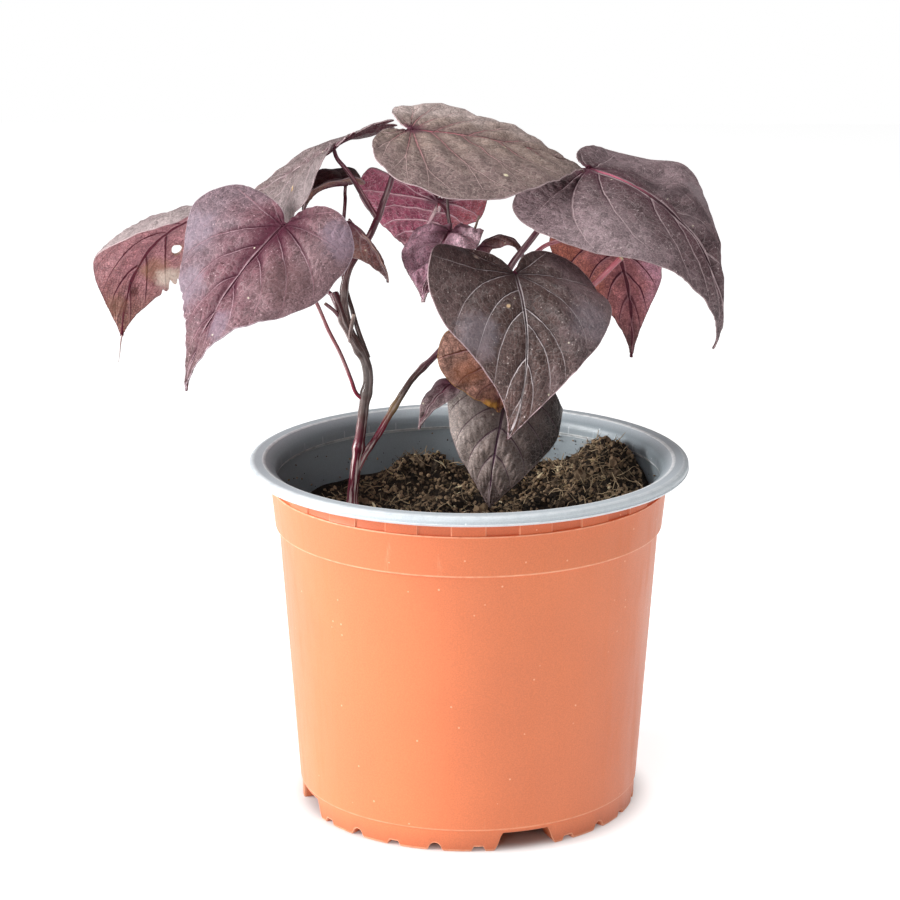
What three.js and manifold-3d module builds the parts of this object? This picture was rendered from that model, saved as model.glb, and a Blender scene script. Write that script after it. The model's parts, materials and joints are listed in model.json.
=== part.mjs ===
// Young sweet potato vine in a two-colour nursery pot, in millimetres with +Z up.
// The plant is modelled about the pot's axis, with the pot's foot at z = 0. At the end the whole
// plant is shifted so that the origin lies on the ground at the middle of its box.
import * as THREE from 'three';
import * as BufferGeometryUtils from 'three/addons/utils/BufferGeometryUtils.js';
import Module from 'manifold-3d';

const wasm = await Module();
wasm.setup();

// ---- driving dimensions -------------------------------------------------------------------

const CLEARANCE = 0.3;        // gap kept between pieces that touch

// Pot: radii of its outer face and heights above the ground.
const POT_HEIGHT = 104.8;
const RIM_RADIUS = 65;
const RIM_INNER_RADIUS = 59.6;
const RIM_UNDERSIDE = 101.6;
const BAND_RADIUS = 57.8;     // recessed band under the rim
const COLLAR_TOP = 97.2;
const COLLAR_TOP_RADIUS = 58.5;
const COLLAR_BASE = 84.8;
const COLLAR_BASE_RADIUS = 57.3;
const WALL_TOP_RADIUS = 56.2;
const FOOT_STEP = 6.5;
const WALL_FOOT_RADIUS = 50.7;
const FOOT_RADIUS = 50.2;
const FOOT_WIDTH = 9;         // the foot ring, which is a gutter on the inside
const WALL = 1.1;
const FLOOR_UNDERSIDE = 6.8;
const FLOOR_TOP = 8.2;
const POT_SIDES = 72;

const BAND_PANELS = 19;       // proud panels of the band, with gaps as wide as themselves
const PANEL_DEPTH = 0.45;

const NOTCHES = 4;            // large notches in the foot edge
const FIRST_NOTCH = 19.5;     // degrees round from the front
const NOTCH_HALF_WIDTH = 9;
const NOTCH_TOP_HALF_WIDTH = 7;
const NOTCH_HEIGHT = 5.4;
const SMALL_NOTCH_STEP = 14.5;
const FIRST_SMALL_NOTCH = 16;
const SMALL_NOTCHES = 5;      // between two large ones, flat and round in turn
const FLAT_NOTCH = { halfWidth: 1.65, height: 1.1 };
const ROUND_NOTCH = { halfWidth: 2, height: 2 };

const DRAIN_HOLES = 8;
const DRAIN_CIRCLE = 36;
const DRAIN_RADIUS = 3.5;

// Soil: level and lumps of its top.
const SOIL_LEVEL = 86;
const SOIL_RINGS = 9;
const SOIL_SIDES = 40;
const SOIL_HEAPS = [
  { x: 49, y: 12, height: 7.5, spreadX: 13, spreadY: 20 },
  { x: -20, y: 30, height: 3.5, spreadX: 10, spreadY: 10 },
  { x: 12, y: 38, height: 2, spreadX: 14, spreadY: 9 },
  { x: 6, y: -36, height: 1.5, spreadX: 26, spreadY: 12 },
  { x: -44, y: -8, height: -1.5, spreadX: 12, spreadY: 24 },
];

// Stems: the route of each, its radius at both ends and, on a leaf stalk, the leaf it carries.
const STEM_SIDES = 6;
const STEM_BASE = [-34.5, 0, 91];
const STEM_ROOT_DEPTH = 14;
const STALK_END_RISE = 3;     // a stalk turns square to its blade over this length
const STALK_END_GAP = 0.75;   // from the end of a stalk to the middle of its blade
const FORK = [9, 3, 151];     // where the second stem divides
const SHOOT = [-1.5, 6, 162]; // foot of the young shoot

const STEMS = {
  main: {
    radius: [1.6, 1.2],
    route: [
      STEM_BASE, [-33.5, 0, 100], [-32.5, 0, 107.5], [-31.5, 0, 114.5], [-30.5, 0, 122],
      [-29.5, 0, 128], [-30.5, 0, 134], [-33.5, 0, 139.5], [-36, 0, 144.5], [-38, 1, 150],
      [-39.5, 3, 153],
    ],
  },
  main_right: {
    radius: [1.15, 1],
    route: [[-35, 0, 142], [-36.5, 1, 153], [-35, 2, 160.5], [-32, 3, 165.5], [-29, 4, 170],
      [-26.5, 4, 175.5]],
  },
  second: {
    radius: [1.05, 0.8],
    route: [[-34, 0, 98], [-31, 0, 104.5], [-26.5, 1, 111.5], [-22, 3, 119], [-17, 5, 126.5],
      [-13.5, 7, 130], [-9.5, 9, 133.5], [-4.5, 9, 139.5], [2.5, 6, 146], FORK],
  },
  shoot: { radius: [0.8, 0.7], route: [FORK, [3.5, 5, 157.5], SHOOT] },
  shoot_tip: { radius: [0.55, 0.35], route: [[-5, 9, 169], [-6, 10, 175], [-6.5, 11, 181.5]] },
  bud: { radius: [0.6, 0.3], route: [SHOOT, [0.5, 7, 168], [3, 7, 175.5]] },
  cut_stalk: {
    radius: [0.8, 0.8],
    route: [FORK, [18, 4, 145.5], [28, 4, 148.5], [36, 3, 155.5], [44.5, 3, 164]],
  },
  pale_stub: { radius: [0.9, 0.5], route: [[-34.5, 0, 139.5], [-34.5, -1.5, 143], [-33.5, -2, 148]] },
  dark_stub: { radius: [0.6, 0.5], route: [[-38, 0, 147], [-39.5, -1, 149], [-42, -1, 151]] },
  stalk_left: {
    leaf: 'leaf_left', radius: [0.6, 0.5],
    route: [[-30.5, 0, 121.5], [-33, -1, 124], [-34.5, -2, 128.5], [-37.5, -3, 136.5], [-41, -4, 144],
      [-43.5, -5, 150.5], [-47.5, -7, 159.5], [-51, -10, 169]],
  },
  stalk_far_left: {
    leaf: 'leaf_far_left', radius: [0.7, 0.5],
    route: [[-38.5, 2, 151.5], [-43.5, 7, 154.5], [-53, 12, 160.5], [-63, 15, 166.5], [-72, 17, 171]],
  },
  stalk_upper_left: {
    leaf: 'leaf_upper_left', radius: [0.85, 0.6],
    route: [[-27, 4, 175.5], [-30.5, 5, 182.5], [-34, 6, 187.5], [-37, 8, 192]],
  },
  stalk_top: {
    leaf: 'leaf_top', radius: [1, 0.6],
    route: [[-26.5, 4, 175], [-25, 3, 180], [-23, 1, 185.5], [-21.5, -1, 191], [-19.5, -4, 197.5]],
  },
  stalk_behind_upper: {
    leaf: 'leaf_behind_upper', radius: [0.75, 0.5],
    route: [[-29.5, 0, 134.5], [-32.5, 1.5, 142.5], [-34, 3, 147.5], [-36, 5, 154], [-37.5, 9, 161.5],
      [-37.5, 12, 167.5], [-37, 15, 172.5], [-36.5, 17, 178.5]],
  },
  stalk_crumpled: {
    leaf: 'leaf_crumpled', radius: [0.5, 0.35],
    route: [[-37.5, 11, 166.5], [-36, 4, 169.5]],
  },
  stalk_right: {
    leaf: 'leaf_right', radius: [1.1, 0.7],
    route: [FORK, [11.5, 3, 160], [19, 5, 170], [28, 9, 180.5], [33, 11, 186]],
  },
  stalk_behind_right: {
    leaf: 'leaf_behind_right', radius: [0.8, 0.5],
    route: [FORK, [11.5, 8, 155], [14.5, 13, 158.5], [19, 14, 162.5], [23, 14, 165.5],
      [32.5, 15, 167.5], [38.5, 15, 167.5]],
  },
  stalk_front: { leaf: 'leaf_front', radius: [0.8, 0.6], route: [FORK, [10.5, -6, 156], [12, -15, 161]] },
  stalk_bronze: {
    leaf: 'leaf_bronze', radius: [0.6, 0.5],
    route: [FORK, [8.5, -8, 151], [8.5, -19, 148.5], [8.5, -21, 145.5]],
  },
  stalk_low: {
    leaf: 'leaf_low', radius: [0.7, 0.5],
    route: [FORK, [11.5, 7, 144.5], [12.5, 11, 134.5], [12.5, 12, 127.5]],
  },
  stalk_low_small: { leaf: 'leaf_low_small', radius: [0.5, 0.4], route: [[-9.5, 9, 133.5], [-7, 8, 128.5]] },
  stalk_young_front: {
    leaf: 'leaf_young_front', radius: [0.6, 0.5],
    route: [SHOOT, [-3, 1, 167.5], [-5, -5, 172]],
  },
  stalk_young_back: {
    leaf: 'leaf_young_back', radius: [0.6, 0.5],
    route: [SHOOT, [-5, 9, 169], [-6.5, 16, 174.5], [-8.5, 22, 176]],
  },
  stalk_curled: { leaf: 'leaf_curled', radius: [0.5, 0.4], route: [SHOOT, [0.5, 7, 162.5]] },
};

// Leaves. Each is a heart-shaped blade, given flat by its length from the joint to the tip, the
// width of each half and how far each lobe reaches back, and then bent. heading turns the midrib
// round +Z from +X, rise lifts it, and roll lifts the blade's left side. droop bends the midrib
// down towards the tip, lobeDroop the lobes behind the joint, sweep curves it to the left and
// twist turns the blade about it. fold tips a half up where it leaves the midrib, and curl bends
// it on towards its margin. fullness widens the blade near its tip. Angles are in degrees.
const BLADE_THICKNESS = 0.7;
const LARGE_BLADE = { rows: 12, columns: 4, wave: 0.8 };
const SMALL_BLADE = { rows: 8, columns: 3, wave: 0.3 };
const MARGIN_WAVES = 3;
const ROW_SPACING = 1.6;      // crowds the rows at the midrib towards the joint

const LEAVES = {
  leaf_top: {
    joint: [-16.5, -8, 203], heading: 3, rise: -5, roll: 16, length: 54.5, width: [27, 38],
    lobe: [5, 12], droop: 30, lobeDroop: -20, fold: [-6, 10], curl: [-6, -24], twist: 4, sweep: 17,
    fullness: 0.9, grid: LARGE_BLADE, colour: 0x6b5e58,
  },
  leaf_right: {
    joint: [35, 12, 188.5], heading: -40, rise: -6, roll: 8, length: 76, width: [36, 33],
    lobe: [13, 9], droop: 110, lobeDroop: -26, fold: [-17, -7], curl: [10, -21], twist: 2, sweep: 20,
    fullness: 0, grid: LARGE_BLADE, colour: 0x5f4f51,
  },
  leaf_front: {
    joint: [13, -26, 165], heading: -75, rise: -32, roll: -20, length: 52, width: [29, 29],
    lobe: [11, 8], droop: 79, lobeDroop: -2, fold: [17, -8], curl: [-36, 14], twist: 35, sweep: 6,
    fullness: 0, grid: LARGE_BLADE, colour: 0x3a3030,
  },
  leaf_left: {
    joint: [-52.5, -18, 177], heading: -147, rise: -38, roll: 1, length: 56, width: [29, 34],
    lobe: [12, 6], droop: 42, lobeDroop: 13, fold: [13, 12], curl: [-92, 6], twist: 2, sweep: -13,
    fullness: 0, grid: LARGE_BLADE, colour: 0x6a5259,
  },
  leaf_far_left: {
    joint: [-78.5, 26, 172.5], heading: 145, rise: -19, roll: 8, length: 60, width: [26, 27],
    lobe: [12, 8], droop: 70, lobeDroop: 10, fold: [18, -8], curl: [-63, -33], twist: 13, sweep: -15,
    fullness: 0.6, grid: LARGE_BLADE, colour: 0x8e6f74,
  },
  leaf_upper_left: {
    joint: [-39.5, 9, 195], heading: 120, rise: -24, roll: -8, length: 50, width: [27, 23],
    lobe: [13, 12], droop: 4, lobeDroop: -11, fold: [-11, 18], curl: [-62, -35], twist: -36, sweep: 26,
    fullness: 0, grid: LARGE_BLADE, colour: 0x938a87,
  },
  leaf_behind_right: {
    joint: [42, 18, 167.5], heading: 58, rise: -50, roll: -1, length: 46, width: [20, 14],
    lobe: [12, 11], droop: 36, lobeDroop: 8, fold: [-6, 14], curl: [-47, -20], twist: -8, sweep: 8,
    fullness: 0, grid: LARGE_BLADE, colour: 0x7a4f50,
  },
  leaf_young_back: {
    joint: [-9, 30, 175.5], heading: 108, rise: -38, roll: 13, length: 37, width: [24, 15],
    lobe: [12, 12], droop: -7, lobeDroop: 44, fold: [10, 8], curl: [6, -7], twist: -4, sweep: 0,
    fullness: 0.6, grid: LARGE_BLADE, colour: 0x8c5866,
  },
  leaf_low: {
    joint: [12, 6, 125], heading: -112, rise: -55, roll: -7, length: 41, width: [23, 18],
    lobe: [9, 9], droop: 72, lobeDroop: 34, fold: [-15, 13], curl: [-70, -28], twist: 4, sweep: -10,
    fullness: 0.4, grid: LARGE_BLADE, colour: 0x4a3f3d,
  },
  leaf_young_front: {
    joint: [-5.5, -8, 173.5], heading: -109, rise: -15, roll: 3, length: 31, width: [10, 13],
    lobe: [10, 10], droop: 34, lobeDroop: 35, fold: [1, 7], curl: [-28, -34], twist: 7, sweep: 3,
    fullness: 0.6, grid: SMALL_BLADE, colour: 0x4d2f3d,
  },
  leaf_bronze: {
    joint: [9, -17, 142.5], heading: 91, rise: -71, roll: 0, length: 28, width: [18, 11],
    lobe: [8, 7], droop: -30, lobeDroop: 25, fold: [0, -7], curl: [-3, -34], twist: -5, sweep: 0,
    fullness: 0.6, grid: SMALL_BLADE, colour: 0x6b4536,
  },
  leaf_behind_upper: {
    joint: [-36.5, 20, 182.5], heading: 189, rise: 4, roll: 2, length: 17, width: [11, 13],
    lobe: [5, 5], droop: 87, lobeDroop: 10, fold: [22, 19], curl: [-15, -12], twist: -2, sweep: 0,
    fullness: 0.4, grid: SMALL_BLADE, colour: 0x6a4c40,
  },
  leaf_crumpled: {
    joint: [-34, -4, 175.5], heading: -40, rise: -28, roll: 0, length: 22, width: [8, 8],
    lobe: [3, 3], droop: 45, lobeDroop: 0, fold: [-30, -48], curl: [-35, -45], twist: 0, sweep: 0,
    fullness: 0.5, grid: SMALL_BLADE, colour: 0x7d5a55,
  },
  leaf_curled: {
    joint: [2.5, 8, 166], heading: -8, rise: 50, roll: 0, length: 21, width: [4.5, 4.5],
    lobe: [1.5, 1.5], droop: 170, lobeDroop: 0, fold: [-25, -35], curl: [-60, -60], twist: 0, sweep: 0,
    fullness: 0.5, grid: SMALL_BLADE, colour: 0x6d5149,
  },
  leaf_low_small: {
    joint: [-5, 0, 126.5], heading: -137, rise: -22, roll: 2, length: 18, width: [6, 6],
    lobe: [4, 4], droop: 40, lobeDroop: 10, fold: [10, 8], curl: [-26, -25], twist: -1, sweep: 0,
    fullness: 0.4, grid: SMALL_BLADE, colour: 0x5f5250,
  },
};

// ---- closed solids and their joining ------------------------------------------------------

// Drops everything but positions, merges shared corners and leaves out triangles with no area.
function closedGeometry(geometry) {
  const bare = geometry.clone();
  for (const name of Object.keys(bare.attributes)) {
    if (name !== 'position') {
      bare.deleteAttribute(name);
    }
  }
  const merged = BufferGeometryUtils.mergeVertices(bare, 1e-4);
  const corners = merged.index.array;
  const kept = [];
  for (let i = 0; i < corners.length; i += 3) {
    const [a, b, c] = [corners[i], corners[i + 1], corners[i + 2]];
    if (a !== b && b !== c && c !== a) {
      kept.push(a, b, c);
    }
  }
  merged.setIndex(kept);
  return merged;
}

function toSolid(geometry) {
  const closed = closedGeometry(geometry);
  const vertProperties = new Float32Array(closed.attributes.position.array);
  const triVerts = new Uint32Array(closed.index.array);
  return new wasm.Manifold(new wasm.Mesh({ numProp: 3, vertProperties, triVerts }));
}

function toGeometry(solid) {
  const mesh = solid.getMesh();
  const geometry = new THREE.BufferGeometry();
  geometry.setAttribute('position', new THREE.BufferAttribute(mesh.vertProperties, 3));
  geometry.setIndex(new THREE.BufferAttribute(mesh.triVerts, 1));
  geometry.computeVertexNormals();
  return geometry;
}

function indexedGeometry(points, triangles) {
  const geometry = new THREE.BufferGeometry();
  const positions = points.flatMap((p) => p.toArray());
  geometry.setAttribute('position', new THREE.Float32BufferAttribute(positions, 3));
  geometry.setIndex(triangles);
  return geometry;
}

// A profile of [radius, height] pairs turned about +Z.
function turned(profile, sides) {
  const points = profile.map(([radius, height]) => new THREE.Vector2(radius, height));
  return new THREE.LatheGeometry(points, sides).rotateX(Math.PI / 2);
}

function finish(name, geometry, colour, roughness) {
  const material = new THREE.MeshStandardMaterial({ color: colour, roughness, metalness: 0 });
  const mesh = new THREE.Mesh(geometry, material);
  mesh.name = name;
  return mesh;
}

// ---- pot ----------------------------------------------------------------------------------

function potBody() {
  const innerCollarTop = COLLAR_TOP_RADIUS - WALL;
  const innerBand = BAND_RADIUS - WALL;
  const footInner = FOOT_RADIUS - FOOT_WIDTH;
  return toSolid(turned([
    [0, FLOOR_UNDERSIDE],
    [footInner - 0.2, FLOOR_UNDERSIDE],
    [footInner, 0],
    [FOOT_RADIUS, 0],
    [FOOT_RADIUS + 0.1, FOOT_STEP],
    [WALL_FOOT_RADIUS, FOOT_STEP + 0.2],
    [WALL_TOP_RADIUS, COLLAR_BASE],
    [COLLAR_BASE_RADIUS, COLLAR_BASE + 0.2],
    [COLLAR_TOP_RADIUS, COLLAR_TOP],
    [BAND_RADIUS, COLLAR_TOP + 0.1],
    [BAND_RADIUS, RIM_UNDERSIDE],
    [RIM_RADIUS - 0.6, RIM_UNDERSIDE + 0.4],
    [RIM_RADIUS, RIM_UNDERSIDE + 1.5],
    [RIM_RADIUS - 0.2, POT_HEIGHT - 0.7],
    [RIM_RADIUS - 1, POT_HEIGHT],
    [RIM_INNER_RADIUS + 0.8, POT_HEIGHT],
    [RIM_INNER_RADIUS, POT_HEIGHT - 0.5],
    [innerBand + 0.4, RIM_UNDERSIDE + 0.9],
    [innerBand, RIM_UNDERSIDE - 0.6],
    [innerBand, COLLAR_TOP + 1.6],
    [innerCollarTop, COLLAR_TOP + 1.2],
    [COLLAR_BASE_RADIUS - WALL, COLLAR_BASE + 0.2],
    [WALL_TOP_RADIUS - WALL, COLLAR_BASE],
    [WALL_FOOT_RADIUS - WALL, FOOT_STEP + 0.2],
    [FOOT_RADIUS - WALL, WALL],
    [footInner + WALL, WALL],
    [footInner + WALL - 0.2, FLOOR_TOP],
    [0, FLOOR_TOP],
  ], POT_SIDES));
}

// A solid made about the origin, moved out to a radius and turned to its place round the pot.
function placedRound(geometry, radius, degrees) {
  geometry.translate(0, -radius, 0);
  geometry.rotateZ(THREE.MathUtils.degToRad(degrees));
  return toSolid(geometry);
}

// A panel of the band: a short arc of a ring, sunk into the band and into what lies above and below.
function bandPanel(degrees) {
  const sunk = 0.3;
  const halfAngle = Math.PI / (2 * BAND_PANELS);
  const outline = new THREE.Shape();
  outline.absarc(0, 0, BAND_RADIUS + PANEL_DEPTH, -halfAngle, halfAngle, false);
  outline.absarc(0, 0, BAND_RADIUS - sunk, halfAngle, -halfAngle, true);
  const depth = RIM_UNDERSIDE - COLLAR_TOP + sunk;
  const panel = new THREE.ExtrudeGeometry(outline, { depth, bevelEnabled: false, curveSegments: 3 });
  panel.translate(0, 0, COLLAR_TOP - sunk / 2);
  panel.rotateZ(THREE.MathUtils.degToRad(degrees - 90));
  return toSolid(panel);
}

// An outline in width and height, pushed out along a radius right through the foot ring.
function footBlock(outline, degrees) {
  const spare = 4;
  const depth = FOOT_WIDTH + 2 * spare;
  const block = new THREE.ExtrudeGeometry(outline, { depth, bevelEnabled: false, curveSegments: 4 });
  block.rotateX(Math.PI / 2);
  return placedRound(block, FOOT_RADIUS - FOOT_WIDTH - spare, degrees);
}

function trapezoid(halfWidth, topHalfWidth, height) {
  const outline = new THREE.Shape();
  outline.moveTo(-halfWidth, -1);
  outline.lineTo(halfWidth, -1);
  outline.lineTo(halfWidth, 0);
  outline.lineTo(topHalfWidth, height);
  outline.lineTo(-topHalfWidth, height);
  outline.lineTo(-halfWidth, 0);
  return outline;
}

function arch(halfWidth, height) {
  const outline = new THREE.Shape();
  outline.moveTo(-halfWidth, -1);
  outline.lineTo(halfWidth, -1);
  outline.lineTo(halfWidth, 0);
  outline.absellipse(0, 0, halfWidth, height, 0, Math.PI, false, 0);
  outline.lineTo(-halfWidth, -1);
  return outline;
}

// All notches of the foot ring. grow makes them wider and higher, which gives the humps that they
// make in the gutter inside.
function footNotches(grow) {
  const largeOutline = trapezoid(NOTCH_HALF_WIDTH + grow, NOTCH_TOP_HALF_WIDTH + grow, NOTCH_HEIGHT + grow);
  const flatHalfWidth = FLAT_NOTCH.halfWidth + grow;
  const smallOutlines = [
    trapezoid(flatHalfWidth, flatHalfWidth, FLAT_NOTCH.height + grow),
    arch(ROUND_NOTCH.halfWidth + grow, ROUND_NOTCH.height + grow),
  ];
  const blocks = [];
  for (let i = 0; i < NOTCHES; i += 1) {
    const middle = FIRST_NOTCH + i * 360 / NOTCHES;
    blocks.push(footBlock(largeOutline, middle));
    for (let k = 0; k < SMALL_NOTCHES; k += 1) {
      blocks.push(footBlock(smallOutlines[k % 2], middle + FIRST_SMALL_NOTCH + k * SMALL_NOTCH_STEP));
    }
  }
  return blocks.reduce((all, block) => all.add(block));
}

// The space of the gutter with half of its walls, which the humps fill.
function gutterSpace() {
  const [inner, outer] = [FOOT_RADIUS - FOOT_WIDTH + WALL / 2, FOOT_RADIUS - WALL / 2];
  const [bottom, top] = [WALL / 2, FLOOR_TOP - WALL / 2];
  const profile = [[inner, bottom], [outer, bottom], [outer, top], [inner, top], [inner, bottom]];
  return toSolid(turned(profile, POT_SIDES));
}

function drainHole(degrees) {
  const hole = new THREE.CylinderGeometry(DRAIN_RADIUS, DRAIN_RADIUS, 6, 12).rotateX(Math.PI / 2);
  hole.translate(0, 0, (FLOOR_UNDERSIDE + FLOOR_TOP) / 2);
  return placedRound(hole, DRAIN_CIRCLE, degrees);
}

function makePot() {
  let pot = potBody();
  for (let i = 0; i < BAND_PANELS; i += 1) {
    pot = pot.add(bandPanel(i * 360 / BAND_PANELS));
  }
  pot = pot.add(footNotches(WALL).intersect(gutterSpace())).subtract(footNotches(0));
  for (let i = 0; i < DRAIN_HOLES; i += 1) {
    pot = pot.subtract(drainHole(i * 360 / DRAIN_HOLES));
  }
  return finish('pot', toGeometry(pot), 0xf0966a, 0.5);
}

// ---- soil ---------------------------------------------------------------------------------

// The soil's top: a level with small lumps, and the heaps on it.
function soilHeight(x, y) {
  const lumps = 0.5 * Math.sin(0.33 * x + 1) * Math.cos(0.27 * y) + 0.4 * Math.sin(0.21 * (x - y));
  let height = SOIL_LEVEL + lumps;
  for (const heap of SOIL_HEAPS) {
    const across = (x - heap.x) / heap.spreadX;
    const along = (y - heap.y) / heap.spreadY;
    height += heap.height * Math.exp(-(across * across + along * along) / 2);
  }
  return height;
}

function soilBody() {
  const topRadius = COLLAR_BASE_RADIUS - WALL - CLEARANCE;
  const shoulder = [
    [topRadius, COLLAR_BASE + CLEARANCE + 0.2],
    [WALL_TOP_RADIUS - WALL - CLEARANCE, COLLAR_BASE + CLEARANCE - 0.2],
    [WALL_FOOT_RADIUS - WALL - CLEARANCE, FLOOR_TOP + CLEARANCE],
  ];
  const points = [new THREE.Vector3(0, 0, soilHeight(0, 0))];
  const addRing = (radius, heightAt) => {
    for (let k = 0; k < SOIL_SIDES; k += 1) {
      const angle = k * 2 * Math.PI / SOIL_SIDES;
      const [x, y] = [radius * Math.cos(angle), radius * Math.sin(angle)];
      points.push(new THREE.Vector3(x, y, heightAt(x, y)));
    }
  };
  for (let ring = 1; ring <= SOIL_RINGS; ring += 1) {
    addRing(topRadius * ring / SOIL_RINGS, soilHeight);
  }
  for (const [radius, height] of shoulder) {
    addRing(radius, () => height);
  }
  const ringCount = SOIL_RINGS + shoulder.length;
  points.push(new THREE.Vector3(0, 0, FLOOR_TOP + CLEARANCE));
  const bottom = points.length - 1;
  const triangles = [];
  for (let k = 0; k < SOIL_SIDES; k += 1) {
    const next = (k + 1) % SOIL_SIDES;
    triangles.push(0, 1 + k, 1 + next);
    for (let ring = 0; ring < ringCount - 1; ring += 1) {
      const [inner, outer] = [1 + ring * SOIL_SIDES, 1 + (ring + 1) * SOIL_SIDES];
      triangles.push(inner + k, outer + k, outer + next);
      triangles.push(inner + k, outer + next, inner + next);
    }
    const last = 1 + (ringCount - 1) * SOIL_SIDES;
    triangles.push(last + k, bottom, last + next);
  }
  return toSolid(indexedGeometry(points, triangles));
}

function makeSoil() {
  const [x, y] = STEM_BASE;
  const holeRadius = STEMS.main.radius[0] + CLEARANCE + 0.2;
  const holeDepth = STEM_ROOT_DEPTH + 1;
  const hole = new THREE.CylinderGeometry(holeRadius, holeRadius, 2 * holeDepth, 10).rotateX(Math.PI / 2);
  hole.translate(x, y, SOIL_LEVEL + CLEARANCE);
  return finish('soil', toGeometry(soilBody().subtract(toSolid(hole))), 0x3b2c20, 1);
}

// ---- leaves -------------------------------------------------------------------------------

const radians = THREE.MathUtils.degToRad;

// The flat outline of one half, from the joint round the lobe to the tip, as [along, across].
function halfOutline(leaf, side) {
  const width = leaf.width[side];
  const lobe = leaf.lobe[side];
  const { length, fullness } = leaf;
  const points = [
    [0, 0],
    [-0.62 * lobe, 0.13 * width],
    [-lobe, 0.46 * width],
    [-0.62 * lobe, 0.84 * width],
    [0.13 * length, width],
    [0.38 * length, (0.8 + 0.14 * fullness) * width],
    [0.62 * length, (0.42 + 0.26 * fullness) * width],
    [0.8 * length, (0.17 + 0.18 * fullness) * width],
    [0.92 * length, (0.055 + 0.06 * fullness) * width],
    [length, 0],
  ];
  const corners = points.map(([u, v]) => new THREE.Vector3(u, v, 0));
  const curve = new THREE.CatmullRomCurve3(corners, false, 'centripetal');
  return curve.getSpacedPoints(leaf.grid.rows).map((p) => [p.x, p.y]);
}

// The joint's own axes: along the midrib, to the blade's left, and up out of its upper face.
function bladeAxes(leaf) {
  const [heading, rise, roll] = [radians(leaf.heading), radians(leaf.rise), radians(leaf.roll)];
  const along = new THREE.Vector3(
    Math.cos(heading) * Math.cos(rise), Math.sin(heading) * Math.cos(rise), Math.sin(rise));
  const left = new THREE.Vector3(-Math.sin(heading), Math.cos(heading), 0).applyAxisAngle(along, roll);
  const up = new THREE.Vector3().crossVectors(along, left);
  return { along, left, up };
}

// The bent midrib at a distance u from the joint: its place and its pitch and yaw there.
function midribAt(leaf, u) {
  const steps = 24;
  const reach = Math.max(...leaf.lobe);
  const place = new THREE.Vector3();
  const angles = (at) => {
    const pitch = at > 0
      ? -radians(leaf.droop) * (at / leaf.length) ** 1.3
      : radians(leaf.lobeDroop) * -at / reach;
    return { pitch, yaw: radians(leaf.sweep) * Math.max(at, 0) / leaf.length };
  };
  for (let i = 0; i < steps; i += 1) {
    const { pitch, yaw } = angles(u * (i + 0.5) / steps);
    const direction = new THREE.Vector3(
      Math.cos(pitch) * Math.cos(yaw), Math.cos(pitch) * Math.sin(yaw), Math.sin(pitch));
    place.addScaledVector(direction, u / steps);
  }
  return { place, ...angles(u) };
}

// Bends a flat point of one half (side 0 left, 1 right) into its place in the plant.
function bent(leaf, axes, side, u, v, lift) {
  const { place, pitch, yaw } = midribAt(leaf, u);
  const fold = radians(leaf.fold[side]);
  const bend = radians(leaf.curl[side]) / leaf.width[side];
  const sideways = (Math.sin(fold + bend * v) - Math.sin(fold)) / bend;
  const upwards = (Math.cos(fold) - Math.cos(fold + bend * v)) / bend;
  const tangent = new THREE.Vector3(
    Math.cos(pitch) * Math.cos(yaw), Math.cos(pitch) * Math.sin(yaw), Math.sin(pitch));
  const across = new THREE.Vector3(-Math.sin(yaw), Math.cos(yaw), 0);
  const twist = radians(leaf.twist) * THREE.MathUtils.clamp(u / leaf.length, 0, 1);
  across.applyAxisAngle(tangent, twist);
  const normal = new THREE.Vector3().crossVectors(tangent, across);
  const local = place.addScaledVector(across, side === 0 ? sideways : -sideways)
    .addScaledVector(normal, upwards + lift);
  return new THREE.Vector3(...leaf.joint)
    .addScaledVector(axes.along, local.x)
    .addScaledVector(axes.left, local.y)
    .addScaledVector(axes.up, local.z);
}

// The blade's middle surface: rows fan out from the midrib to the margin on both sides.
function bladeSurface(leaf) {
  const axes = bladeAxes(leaf);
  const { rows, columns, wave } = leaf.grid;
  const outlines = [halfOutline(leaf, 0), halfOutline(leaf, 1)];
  const points = [];
  const triangles = [];
  const numbers = new Map();
  const corner = (side, row, column) => {
    const atEnd = row === 0 || row === rows;
    const key = atEnd ? `end ${row}` : column === 0 ? `midrib ${row}` : `${side} ${row} ${column}`;
    if (!numbers.has(key)) {
      const part = row / rows;
      const onMidrib = leaf.length * part ** ROW_SPACING;
      const [marginU, marginV] = outlines[side][row];
      const out = atEnd ? 0 : column / columns;
      const u = onMidrib + (marginU - onMidrib) * out;
      const phase = 2 * Math.PI * MARGIN_WAVES * part + side;
      const ripple = wave * out * out * Math.sin(phase) * Math.sin(Math.PI * part);
      numbers.set(key, points.length);
      points.push(bent(leaf, axes, side, u, marginV * out, ripple));
    }
    return numbers.get(key);
  };
  const addTriangle = (side, a, b, c) => {
    if (a !== b && b !== c && c !== a) {
      triangles.push(side === 0 ? [a, b, c] : [a, c, b]);
    }
  };
  for (const side of [0, 1]) {
    for (let row = 0; row < rows; row += 1) {
      for (let column = 0; column < columns; column += 1) {
        const near = corner(side, row, column);
        const nearOut = corner(side, row, column + 1);
        const far = corner(side, row + 1, column);
        const farOut = corner(side, row + 1, column + 1);
        addTriangle(side, near, far, farOut);
        addTriangle(side, near, farOut, nearOut);
      }
    }
  }
  const margin = [];
  for (let row = 0; row < rows; row += 1) {
    margin.push(corner(1, row, columns));
  }
  for (let row = rows; row > 0; row -= 1) {
    margin.push(corner(0, row, columns));
  }
  return { points, triangles, margin };
}

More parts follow.
